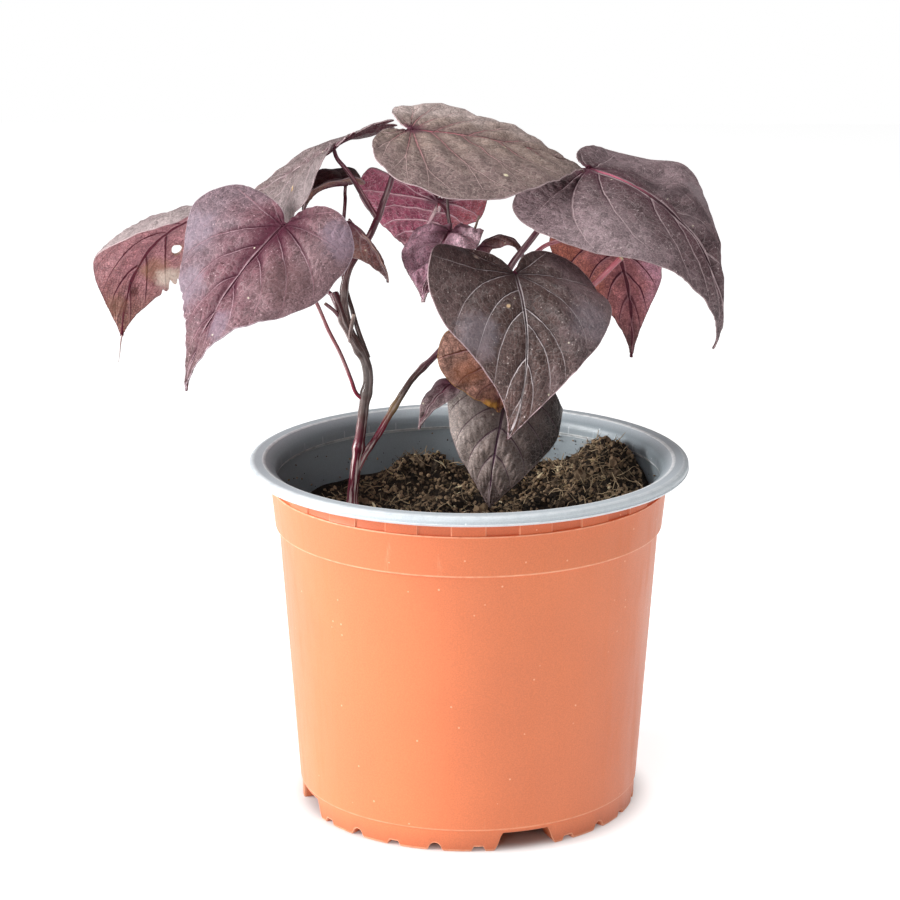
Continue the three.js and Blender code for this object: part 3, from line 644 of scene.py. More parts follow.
# Each heap's middle, rise and spread, along X and along Y.
SOIL_HEAPS = [
    (44, 25, 15.5, 8, 10), (36, 34, 4, 7, 6), (24, 39, 3.5, 7, 7), (47, 12, 4, 7, 7),
    (-20, 42, 6.5, 4.5, 6), (-10, 44, 4.5, 3.5, 5), (12, 38, 2, 14, 9), (6, -36, 1.5, 26, 12),
    (-44, -8, -1.5, 12, 24),
]
SOIL_EDGE = [(55.9, 85.3), (54.8, 84.9), (49.3, 8.5)]
SOIL_RINGS = 70
SOIL_STEPS = 300
GROUND_RINGS = 45
GROUND_STEPS = 120
SPLASHED_WALL = [(55.6, 87.0), (56.7, 98.0)]
SPLASH_STEPS = 90
SPLASH_MIDDLE, SPLASH_SPREAD = 150, 60


def soil_height(x, y):
    """The soil's smooth level with its heaps."""
    height = SOIL_LEVEL + 0.5 * np.sin(0.33 * x + 1) * np.cos(0.27 * y) + 0.4 * np.sin(0.21 * (x - y))
    for middle_x, middle_y, rise, spread_x, spread_y in SOIL_HEAPS:
        across, along = (x - middle_x) / spread_x, (y - middle_y) / spread_y
        height = height + rise * np.exp(-(across ** 2 + along ** 2) / 2)
    return height


def heap_share(x, y):
    """0 on the soil's level and 1 on the top of the large heap."""
    return np.clip((soil_height(x, y) - SOIL_LEVEL - HEAP_START) / HEAP_RISE, 0, 1)


def soil_relief(x, y):
    """Crumbly relief on the soil's level, rougher on the heaps."""
    clods = np.maximum(fractal_noise(x / 6.5, y / 6.5, 3, 11), -0.4)
    crumbs = np.abs(fractal_noise(x / 1.9, y / 1.9, 3, 23))
    return (0.9 * clods + 0.8 * (crumbs - 0.4)) * (1 + 1.3 * heap_share(x, y))


def make_soil(material):
    """The body of soil: its rough top in rings, its side and its flat underside."""
    turn = np.linspace(0, 2 * np.pi, SOIL_STEPS, endpoint=False)
    points = [[0, 0, float(soil_height(0, 0))]]
    for ring in range(1, SOIL_RINGS + 1):
        radius = SOIL_RADIUS * ring / SOIL_RINGS
        x, y = radius * np.cos(turn), radius * np.sin(turn)
        z = soil_height(x, y) + soil_relief(x, y) * min(1, (SOIL_RADIUS - radius) / SOIL_CALM_EDGE)
        points += np.stack([x, y, np.maximum(z, SOIL_LOWEST)], axis=-1).tolist()
    for radius, height in SOIL_EDGE:
        x, y = radius * np.cos(turn), radius * np.sin(turn)
        points += np.stack([x, y, np.full(SOIL_STEPS, height)], axis=-1).tolist()
    rings = SOIL_RINGS + len(SOIL_EDGE)
    points.append([0, 0, SOIL_EDGE[-1][1]])
    faces = band_faces(rings, SOIL_STEPS, start=1)
    last = 1 + (rings - 1) * SOIL_STEPS
    for k in range(SOIL_STEPS):
        after = (k + 1) % SOIL_STEPS
        faces.append((0, 1 + k, 1 + after))
        faces.append((last + k, len(points) - 1, last + after))
    return make_piece("soil_bed", points, faces, [material])


def compost(name, dark, warm, pale):
    """Peat compost: dark and matt, with warmer crumbs and pale dust."""
    material, nodes, shader = new_material(name)
    here = nodes.place()
    clumps = nodes.noise(here, 0.004, detail=5, roughness=0.7)
    tint = nodes.mix(nodes.fade(clumps, 0.4, 0.65), dark, warm)
    dust = nodes.noise(here, 0.0008, detail=3, roughness=0.7)
    tint = nodes.mix(nodes.fade(dust, 0.62, 0.72, 0.0, 0.7), tint, pale)
    relief = nodes.noise(here, 0.0009, detail=4, roughness=0.7)
    nodes.fill(shader, {"Base Color": tint, "Roughness": 0.95, "Specular IOR Level": 0.2,
                        "Normal": nodes.bump(relief, 0.0006, 0.9)})
    return material


# ---- what lies on the soil ----

# Threads of peat and chopped straw, as flat routes in millimetres at size 1.
FIBRE_ROUTES = [
    [(-3, 0, 0), (-1, 0.8, 0.4), (1.2, 0.5, 0.9), (3, -0.6, 0.5)],
    [(-2.6, 0.4, 0), (-0.8, -0.7, 0.8), (1, 0.5, 0.6), (2.4, 1.4, 1.4)],
    [(-2, 0, 0), (0, 0.3, 1.2), (1.6, 0, 0.6), (2, -0.6, -0.4)],
    [(-3.6, 0.2, 0.2), (-1.2, -0.1, 0.5), (1.2, 0.2, 0.3), (3.8, -0.2, 0.7)],
    [(-1.4, 0, 0), (-0.2, 0.2, 1.1), (0.2, 0.5, 2.3), (0.9, 0.3, 3.2)],
]
STRAW_ROUTES = [
    [(-2.4, 0, 0), (0, 0.2, 0.3), (2.4, 0, 0.2)],
    [(-1.6, 0, 0), (0, 0.4, 0.1), (1.8, 0.2, 0.7)],
    [(-3.2, 0.1, 0.1), (0, -0.3, 0.5), (3, 0.2, 0.1)],
]
THREAD_STEPS = 5


def lump(subdivisions, roughness, seed):
    """A rough lump of about radius 1, as points and faces."""
    shape = bmesh.new()
    bmesh.ops.create_icosphere(shape, subdivisions=subdivisions, radius=1)
    points = np.array([vertex.co[:] for vertex in shape.verts])
    faces = [[vertex.index for vertex in face.verts] for face in shape.faces]
    shape.free()
    random = np.random.default_rng(seed)
    points = points * (1 + roughness * random.uniform(-1, 1, (len(points), 1)))
    return points * random.uniform(0.65, 1.15, 3), faces


def thread(route, half_width, half_height):
    """A thread or a flat sliver along a route, closed at both ends, as points and faces."""
    centres = along_curve(spline(route), np.linspace(0, 1, THREAD_STEPS + 1))
    directions = unit(np.gradient(centres, axis=0))
    side = unit(np.cross(directions, [0.0, 0.0, 1.0]))
    over = np.cross(side, directions)
    ends = np.linspace(-1, 1, THREAD_STEPS + 1)[:, None]
    slim = 1 - 0.6 * ends ** 4
    ring = [side * half_width, over * half_height, -side * half_width, -over * half_height]
    points = np.stack([centres + offset * slim for offset in ring], axis=1).reshape(-1, 3)
    ends = [(0, 1, 2, 3), tuple(4 * THREAD_STEPS + k for k in (3, 2, 1, 0))]
    return points, ends + band_faces(THREAD_STEPS + 1, 4)


def shape_set(name, shapes):
    """A collection of shapes at the origin, for strewing."""
    collection = bpy.data.collections.new(name)
    for i, (points, faces) in enumerate(shapes):
        mesh = make_mesh(f"{name}_{i}", points * MM, [list(face) for face in faces])
        made = bpy.data.objects.new(mesh.name, mesh)
        turned = bmesh.new()
        turned.from_mesh(mesh)
        bmesh.ops.recalc_face_normals(turned, faces=turned.faces)
        turned.to_mesh(mesh)
        turned.free()
        collection.objects.link(made)
    return collection


def surface_object(name, points, faces, cover):
    """A surface to strew things on, with its cover: how thick they lie at each point."""
    mesh = make_mesh(name, placed(points), faces)
    mesh_values(mesh, "cover", cover)
    return make_object(name, mesh)


def make_ground(name, reach, heaping):
    """The soil's top as far as a radius. Heaping lays more on the heaps than on the level."""
    turn = np.linspace(0, 2 * np.pi, GROUND_STEPS, endpoint=False)
    radius = np.linspace(0.5, reach, GROUND_RINGS)[:, None]
    x, y = radius * np.cos(turn), radius * np.sin(turn)
    z = soil_height(x, y) + soil_relief(x, y)
    points = np.stack([x, y, z], axis=-1).reshape(-1, 3)
    cover = 1 + heaping * (2 * heap_share(x, y) - 0.4)
    return surface_object(name, points, band_faces(GROUND_RINGS, GROUND_STEPS), cover.ravel())


def make_wall_band(name):
    """The pot's inner wall above the soil, where dirt has splashed, most of it at the back right."""
    degrees = np.linspace(0, 360, SPLASH_STEPS, endpoint=False)
    rings = [circle_points(radius, height, degrees) for radius, height in SPLASHED_WALL]
    more = 1 + 1.6 * bell((degrees - SPLASH_MIDDLE) / SPLASH_SPREAD, 1)
    cover = np.concatenate([2 * more, 0.3 * more])
    return surface_object(name, np.concatenate(rings), band_faces(len(rings), SPLASH_STEPS), cover)


def strewing(name):
    """Geometry nodes that strew a collection's shapes over a surface, each at its own angle and size."""
    tree = bpy.data.node_groups.new(name, "GeometryNodeTree")
    for label, kind in (("Surface", "Geometry"), ("Shapes", "Collection"), ("Material", "Material"),
                        ("Density", "Float"), ("Smallest", "Float"), ("Largest", "Float"),
                        ("Lean", "Float"), ("Seed", "Int")):
        tree.interface.new_socket(label, in_out="INPUT", socket_type="NodeSocket" + kind)
    tree.interface.new_socket("Litter", in_out="OUTPUT", socket_type="NodeSocketGeometry")
    nodes = Nodes(tree)
    given = nodes.add("NodeGroupInput").outputs

    def chance(low, high, kind="FLOAT"):
        """A random number or vector for each bit, by the given seed."""
        first, last, output = {"FLOAT_VECTOR": (0, 1, 0), "FLOAT": (2, 3, 1)}[kind]
        inputs = {first: low, last: high, "Seed": given["Seed"]}
        return nodes.add("FunctionNodeRandomValue", inputs, data_type=kind).outputs[output]

    cover = nodes.add("GeometryNodeInputNamedAttribute", {"Name": "cover"}, data_type="FLOAT")
    thick = nodes.times(given["Density"], cover.outputs["Attribute"])
    dots = nodes.add("GeometryNodeDistributePointsOnFaces", {
        "Mesh": given["Surface"], "Density": thick, "Seed": given["Seed"]})
    lean, backwards = given["Lean"], nodes.times(given["Lean"], -1.0)
    low = nodes.node("CombineXYZ", {"X": backwards, "Y": backwards}).outputs[0]
    high = nodes.node("CombineXYZ", {"X": lean, "Y": lean, "Z": 2 * math.pi}).outputs[0]
    shapes = nodes.add("GeometryNodeCollectionInfo", {
        "Collection": given["Shapes"], "Separate Children": True, "Reset Children": True})
    laid = nodes.add("GeometryNodeInstanceOnPoints", {
        "Points": dots.outputs["Points"], "Instance": shapes.outputs[0], "Pick Instance": True,
        "Rotation": chance(low, high, "FLOAT_VECTOR"), "Scale": chance(given["Smallest"], given["Largest"])})
    tinted = nodes.add("GeometryNodeStoreNamedAttribute", {
        "Geometry": laid.outputs[0], "Name": "litter_tint", "Value": chance(0.0, 1.0)},
        data_type="FLOAT", domain="INSTANCE")
    real = nodes.add("GeometryNodeRealizeInstances", {"Geometry": tinted.outputs[0]})
    done = nodes.add("GeometryNodeSetMaterial", {
        "Geometry": real.outputs[0], "Material": given["Material"]})
    nodes.add("NodeGroupOutput", {"Litter": done.outputs[0]})
    return tree


def strewn(name, surface, shapes, material, density, sizes, lean, seed):
    """A piece of many small shapes on a surface. The density is for each square millimetre."""
    piece = make_object(name, surface.data.copy())
    modifier = piece.modifiers.new("strewing", "NODES")
    modifier.node_group = strewing(name + "_strewing")
    values = {"Shapes": shapes, "Material": material, "Density": density / MM ** 2, "Smallest": sizes[0],
              "Largest": sizes[1], "Lean": lean, "Seed": seed}
    for socket in modifier.node_group.interface.items_tree:
        if socket.name in values:
            modifier[socket.identifier] = values[socket.name]
    evaluated = piece.evaluated_get(bpy.context.evaluated_depsgraph_get())
    mesh = bpy.data.meshes.new_from_object(evaluated)
    piece.modifiers.clear()
    piece.data = mesh
    mesh.name = name
    return piece


def litter_finish(name, dark, light):
    """Dry plant matter, each bit with its own tint, mottled and matt."""
    material, nodes, shader = new_material(name)
    here = nodes.place()
    own = nodes.math("POWER", nodes.attribute("litter_tint"), 3.0)
    stained = nodes.noise(here, 0.0007, detail=4, roughness=0.75)
    share = nodes.math("MULTIPLY_ADD", nodes.math("SUBTRACT", stained, 0.45), 1.0, own, clamp=True)
    relief = nodes.noise(here, 0.0004, detail=3, roughness=0.7)
    nodes.fill(shader, {"Base Color": nodes.mix(share, dark, light), "Roughness": 0.9,
                        "Specular IOR Level": 0.25, "Normal": nodes.bump(relief, 0.0003, 0.8)})
    return material


# ---- the stems ----

STEM_SIDES = 12
STEM_BASE = (-34.5, 0, 91)
STEM_ROOT_DEPTH = 14
STALK_END_RISE = 3
STALK_END_GAP = 0.75
STEM_STEP = 0.8               # between a stem's rings, in millimetres
NODE_SWELLING, NODE_LENGTH = 0.28, 1.6
LUMP_HEIGHT, LUMP_LENGTH = 0.07, 2.2
END_ROUNDING = 0.25           # how far a stem's end bulges, as a share of its radius
FORK = (9, 3, 151)
SHOOT = (-1.5, 6, 162)

# Colours that a stem passes through on its way up.
WINE, ROSE, MAROON, DARK_WINE = (156, 54, 78), (206, 128, 138), (104, 44, 60), (112, 40, 56)
GREY_BROWN, UMBER, HIGHLIGHT_PINK = (104, 91, 87), (92, 70, 66), (222, 186, 184)
PURPLE_BROWN, PINK_STALK, PALE_NODE = (112, 70, 82), (206, 112, 124), (164, 138, 102)

# Each stem's radius at both ends, colours from start to end, and route. stalk_top carries
# leaf_top, and so on.
STEMS = {
    # The rose stop near the soil is partly the stem's own colour and partly a painted highlight.
    "main": ((1.75, 1.4), [WINE, WINE, ROSE, DARK_WINE, DARK_WINE, DARK_WINE, UMBER, GREY_BROWN,
                           GREY_BROWN, UMBER, UMBER, MAROON], [
        STEM_BASE, (-33.5, 0, 100), (-32.5, 0, 107.5), (-31.5, 0, 114.5), (-30.5, 0, 122),
        (-29.5, 0, 128), (-30.5, 0, 134), (-33.5, 0, 139.5), (-36, 0, 144.5), (-38, 1, 150),
        (-39.5, 3, 153)]),
    "main_right": ((1.15, 1), [GREY_BROWN, UMBER, MAROON, MAROON], [
        (-35, 0, 142), (-36.5, 1, 153), (-35, 2, 160.5), (-32, 3, 165.5), (-29, 4, 170),
        (-26.5, 4, 175.5)]),
    # The pale pink at this stem's foot is a painted highlight.
    "second": ((1.1, 0.8), [HIGHLIGHT_PINK, ROSE, DARK_WINE, WINE, PALE_NODE, UMBER, UMBER, PURPLE_BROWN,
                            PURPLE_BROWN, MAROON, WINE, WINE, MAROON], [
        (-34, 0, 98), (-31, 0, 104.5), (-26.5, 1, 111.5), (-22, 3, 119), (-17, 5, 126.5),
        (-13.5, 7, 130), (-9.5, 9, 133.5), (-4.5, 9, 139.5), (2.5, 6, 146), FORK]),
    "shoot": ((0.8, 0.7), [MAROON, PURPLE_BROWN], [FORK, (3.5, 5, 157.5), SHOOT]),
    "shoot_tip": ((0.55, 0.35), [PURPLE_BROWN, GREY_BROWN], [
        (-5, 9, 169), (-6, 10, 175), (-6.5, 11, 181.5)]),
    "bud": ((0.6, 0.3), [PURPLE_BROWN, (140, 112, 92), (168, 140, 112)], [
        SHOOT, (0.5, 7, 168), (3, 7, 175.5)]),
    "cut_stalk": ((0.8, 0.8), [MAROON, WINE, PINK_STALK, PINK_STALK], [
        FORK, (18, 4, 145.5), (28, 4, 148.5), (36, 3, 155.5), (44.5, 3, 164)]),
    "pale_stub": ((0.9, 0.5), [UMBER, UMBER, (150, 126, 116)], [
        (-34.5, 0, 139.5), (-34.5, -1.5, 143), (-33.5, -2, 148)]),
    "dark_stub": ((0.6, 0.5), [MAROON, MAROON], [(-38, 0, 147), (-39.5, -1, 149), (-42, -1, 151)]),
    "leaf_thread": ((0.28, 0.08), [(150, 118, 118), (176, 168, 166)], [
        (-107.1, 47.6, 130.4), (-107.6, 47.4, 127.5), (-107.9, 47.2, 124.5), (-108.4, 47, 121.8)]),
    "stalk_left": ((0.6, 0.5), [WINE, (150, 84, 90), (150, 84, 90), WINE, MAROON], [
        (-30.5, 0, 121.5), (-33, -1, 124), (-34.5, -2, 128.5), (-37.5, -3, 136.5), (-41, -4, 144),
        (-43.5, -5, 150.5), (-47.5, -7, 159.5), (-51, -10, 169)]),
    "stalk_far_left": ((0.7, 0.5), [MAROON, MAROON, WINE], [
        (-38.5, 2, 151.5), (-43.5, 7, 154.5), (-53, 12, 160.5), (-63, 15, 166.5), (-72, 17, 171)]),
    "stalk_upper_left": ((0.85, 0.6), [MAROON, MAROON, PURPLE_BROWN], [
        (-27, 4, 175.5), (-31.2, 5.6, 182), (-35, 7.2, 188)]),
    "stalk_top": ((1, 0.6), [MAROON, PURPLE_BROWN, MAROON], [
        (-26.5, 4, 175), (-25, 3, 180), (-23, 1, 185.5), (-21.5, -1, 191), (-19.5, -4, 197.5)]),
    "stalk_behind_upper": ((0.75, 0.5), [GREY_BROWN, UMBER, MAROON, MAROON], [
        (-29.5, 0, 134.5), (-32.5, 1.5, 142.5), (-34, 3, 147.5), (-36, 5, 154), (-37.5, 9, 161.5),
        (-37.5, 12, 167.5), (-37, 15, 172.5), (-36.5, 17, 178.5)]),
    "stalk_crumpled": ((0.5, 0.35), [MAROON, WINE], [(-37.5, 11, 166.5), (-36, 4, 169.5)]),
    "stalk_right": ((1.1, 0.7), [MAROON, PURPLE_BROWN, PURPLE_BROWN, WINE], [
        FORK, (11.5, 3, 160), (19, 5, 170), (28, 9, 180.5), (33, 11, 186)]),
    "stalk_behind_right": ((0.8, 0.5), [MAROON, WINE, ROSE, PINK_STALK], [
        FORK, (11.5, 8, 155), (14.5, 13, 158.5), (19, 14, 162.5), (23, 14, 165.5),
        (32.5, 15, 167.5), (38.5, 15, 167.5)]),
    "stalk_front": ((0.8, 0.6), [MAROON, WINE], [FORK, (10.5, -6, 156), (12, -15, 161)]),
    "stalk_bronze": ((0.6, 0.5), [MAROON, WINE], [
        FORK, (8.5, -8, 151), (8.5, -19, 148.5), (8.5, -21, 145.5)]),
    "stalk_low": ((0.7, 0.5), [MAROON, WINE, WINE], [
        FORK, (11.5, 7, 144.5), (12.5, 11, 134.5), (12.5, 12, 127.5)]),
    "stalk_low_small": ((0.5, 0.4), [PURPLE_BROWN, UMBER], [
        (-9.5, 9, 133.5), (-7, 8, 128.5)]),
    "stalk_young_front": ((0.6, 0.5), [PURPLE_BROWN, WINE], [
        SHOOT, (-3, 1, 167.5), (-5, -5, 172)]),
    "stalk_young_back": ((0.6, 0.5), [PURPLE_BROWN, WINE], [
        SHOOT, (-5, 9, 169), (-6.5, 16, 174.5), (-8.5, 22, 176)]),
    "stalk_curled": ((0.5, 0.4), [PURPLE_BROWN, WINE], [SHOOT, (0.5, 7, 162.5)]),
}


def stem_route(name):
    """A stem's curve. A stalk goes on to its leaf's joint, and the main stem starts in the soil."""
    route = [np.array(point, float) for point in STEMS[name][2]]
    leaf = LEAVES.get(name.replace("stalk", "leaf"))
    if leaf:
        up = blade_axes(leaf)[2]
        joint = np.array(leaf["joint"], float)
        route += [joint - up * STALK_END_RISE, joint - up * STALK_END_GAP]
    if name == "main":
        route.insert(0, np.array([STEM_BASE[0], STEM_BASE[1], SOIL_LEVEL - STEM_ROOT_DEPTH]))
    return spline(route)


# Where a stem is swollen at its nodes, as shares of its length, and the ends that were cut.
STEM_NODES = {
    "main": (0.2, 0.42, 0.62, 0.78, 0.9), "main_right": (0.35,), "second": (0.34, 0.55, 0.8),
    "stalk_right": (0.03,), "shoot": (0.5,), "bud": (0.1, 0.6),
}
GRAIN_DRAW = 0.06              # how far a stem's streaks are drawn out along it
GRAIN_SHIFT = 7.0              # sets the streaks of one stem apart from the next
CUT_ENDS = {"cut_stalk": (214, 206, 152), "pale_stub": (186, 168, 150), "dark_stub": (120, 90, 70)}


def stem_tube(name, seed):
    """One stem's points, faces, colours and grain: a tapered rod with swellings, closed at its ends."""
    (start_radius, end_radius), colours, _ = STEMS[name]
    curve = stem_route(name)
    length = np.linalg.norm(np.diff(curve, axis=0), axis=1).sum()
    steps = max(6, int(length / STEM_STEP))
    shares = np.linspace(0, 1, steps + 1)
    centres = along_curve(curve, shares)
    directions = unit(np.gradient(centres, axis=0))
    side = unit(np.cross(directions[0], [0.3, 0.9, 0.2]))
    points, tints, grain = [], [], []
    stops = np.array([paint(*colour)[:3] for colour in colours])
    turn = np.linspace(0, 2 * np.pi, STEM_SIDES, endpoint=False)
    around = start_radius * np.column_stack([np.cos(turn), np.sin(turn), 0 * turn]) + GRAIN_SHIFT * seed
    for i, share in enumerate(shares):
        side = unit(side - directions[i] * np.dot(side, directions[i]))
        other = np.cross(directions[i], side)
        radius = start_radius + (end_radius - start_radius) * share
        for node in STEM_NODES.get(name, ()):
            radius *= 1 + NODE_SWELLING * bell((share - node) * length, NODE_LENGTH)
        lumps = lattice_noise(share * length / LUMP_LENGTH + 0 * turn, turn * 0.7, seed)
        lumps = 1 + LUMP_HEIGHT * lumps
        ring = centres[i] + radius * (np.cos(turn) * lumps)[:, None] * side
        ring = ring + radius * (np.sin(turn) * lumps)[:, None] * other
        points += ring.tolist()
        grain += (around + [0, 0, share * length * GRAIN_DRAW]).tolist()
        at = share * (len(stops) - 1)
        tint = [float(np.interp(at, range(len(stops)), stops[:, c])) for c in range(3)]
        tints += [tint] * STEM_SIDES
    for end in (0, -1):
        push = directions[end] * (END_ROUNDING * (start_radius if end == 0 else end_radius))
        points.append((centres[end] + (push if end else -push)).tolist())
        tints.append(tints[0] if end == 0 else tints[-2])
        grain.append(grain[0] if end == 0 else grain[-2])
    if name in CUT_ENDS:
        cut = list(paint(*CUT_ENDS[name])[:3])
        tints[-STEM_SIDES - 2:-2] = [cut] * STEM_SIDES
        tints[-1] = cut
    first, last = len(points) - 2, len(points) - 1
    faces = band_faces(steps + 1, STEM_SIDES, flip=True)
    for k in range(STEM_SIDES):
        after = (k + 1) % STEM_SIDES
        faces.append((first, after, k))
        faces.append((last, steps * STEM_SIDES + k, steps * STEM_SIDES + after))
    return points, faces, tints, grain


def make_stems(material):
    """All the stems as one piece, with the colour and the grain of each point."""
    points, faces, tints, grain = [], [], [], []
    for seed, name in enumerate(STEMS):
        tube_points, tube_faces, tube_tints, tube_grain = stem_tube(name, seed)
        start = len(points)
        points += tube_points
        tints += tube_tints
        grain += tube_grain
        faces += [tuple(start + i for i in face) for face in tube_faces]
    piece = make_piece("vine_stems", points, faces, [material])
    colours = piece.data.attributes.new("stem_tint", "FLOAT_COLOR", "POINT")
    colours.data.foreach_set("color", np.column_stack([tints, np.ones(len(tints))]).ravel())
    vectors = piece.data.attributes.new("stem_grain", "FLOAT_VECTOR", "POINT")
    vectors.data.foreach_set("vector", (np.array(grain) * MM).ravel())
    return piece


def stem_skin(name):
    """A smooth living stem: its own colour, streaked lengthways, with a painted glint that is strongest low
    down.
    """
    material, nodes, shader = new_material(name)
    tint = nodes.attribute("stem_tint", "Color")
    grain = nodes.attribute("stem_grain", "Vector")
    streaks = nodes.noise(grain, 0.0012, detail=4, roughness=0.6)
    tint = nodes.mix(nodes.fade(streaks, 0.45, 0.7, 0.0, 0.65), tint, paint(40, 18, 26))
    # pale streaks of painted highlight, strongest near the soil
    pale = nodes.noise(grain, 0.0007, detail=3, roughness=0.6)
    height = nodes.node("SeparateXYZ", {0: nodes.place()}).outputs["Z"]
    low_down = nodes.fade(height, 0.125, 0.105, 0.25, 1.0)
    painted_glint = nodes.times(nodes.fade(pale, 0.52, 0.62), low_down)
    tint = nodes.mix(painted_glint, tint, paint(248, 224, 220))
    nodes.fill(shader, {"Base Color": tint, "Roughness": nodes.fade(streaks, 0.3, 0.8, 0.18, 0.34),
                        "Normal": nodes.bump(streaks, 0.0002, 0.5)})
    return material


# ---- the leaves ----

MARGIN_WAVES = 3
BLADE_STEP = 0.8              # between neighbouring points of a blade, in millimetres
BEND_STEPS = 24               # straight steps from a leaf's joint to any point of its blade
DROOP_POWER = 1.3             # above 1, a blade droops more and more towards its tip
COLUMN_POWER = 1.15           # above 1, the columns crowd towards the midrib
RIB_STEP = 2.6                # between the small ribs that cross from vein to vein

# A blade's thickness in millimetres.
RIB_WIDTH, VEIN_WIDTH = 0.55, 0.38
HALF_THICKNESS, EDGE_THICKENING = 0.14, 0.14

# The flat blade in its UV map: millimetres to one unit, and where its joint lies.
FLAT_SPAN, FLAT_SHIFT = 100, (0.3, 0.5)

# Side veins: where each leaves the midrib and where it meets the margin, as shares of both, and
# where its bend lies, as shares of the way along the midrib and across to the margin.
COMMON_VEINS = [(0, 0.17, 0.4, 0.5), (0, 0.34, 0.36, 0.6), (0, 0.55, 0.35, 0.9),
                (0.15, 0.68, 0.3, 0.9), (0.32, 0.79, 0.3, 0.9), (0.52, 0.87, 0.3, 0.9),
                (0.72, 0.94, 0.3, 0.8)]
SMALL_VEINS = [(0, 0.22, 0.4, 0.5), (0, 0.5, 0.35, 0.85), (0.22, 0.7, 0.3, 0.9),
               (0.45, 0.83, 0.3, 0.9), (0.68, 0.92, 0.3, 0.8)]
PLAIN_KNEE = (0.36, 0.54)
SMALL_LEAF = dict(veins=(SMALL_VEINS, SMALL_VEINS), wave=0.3)

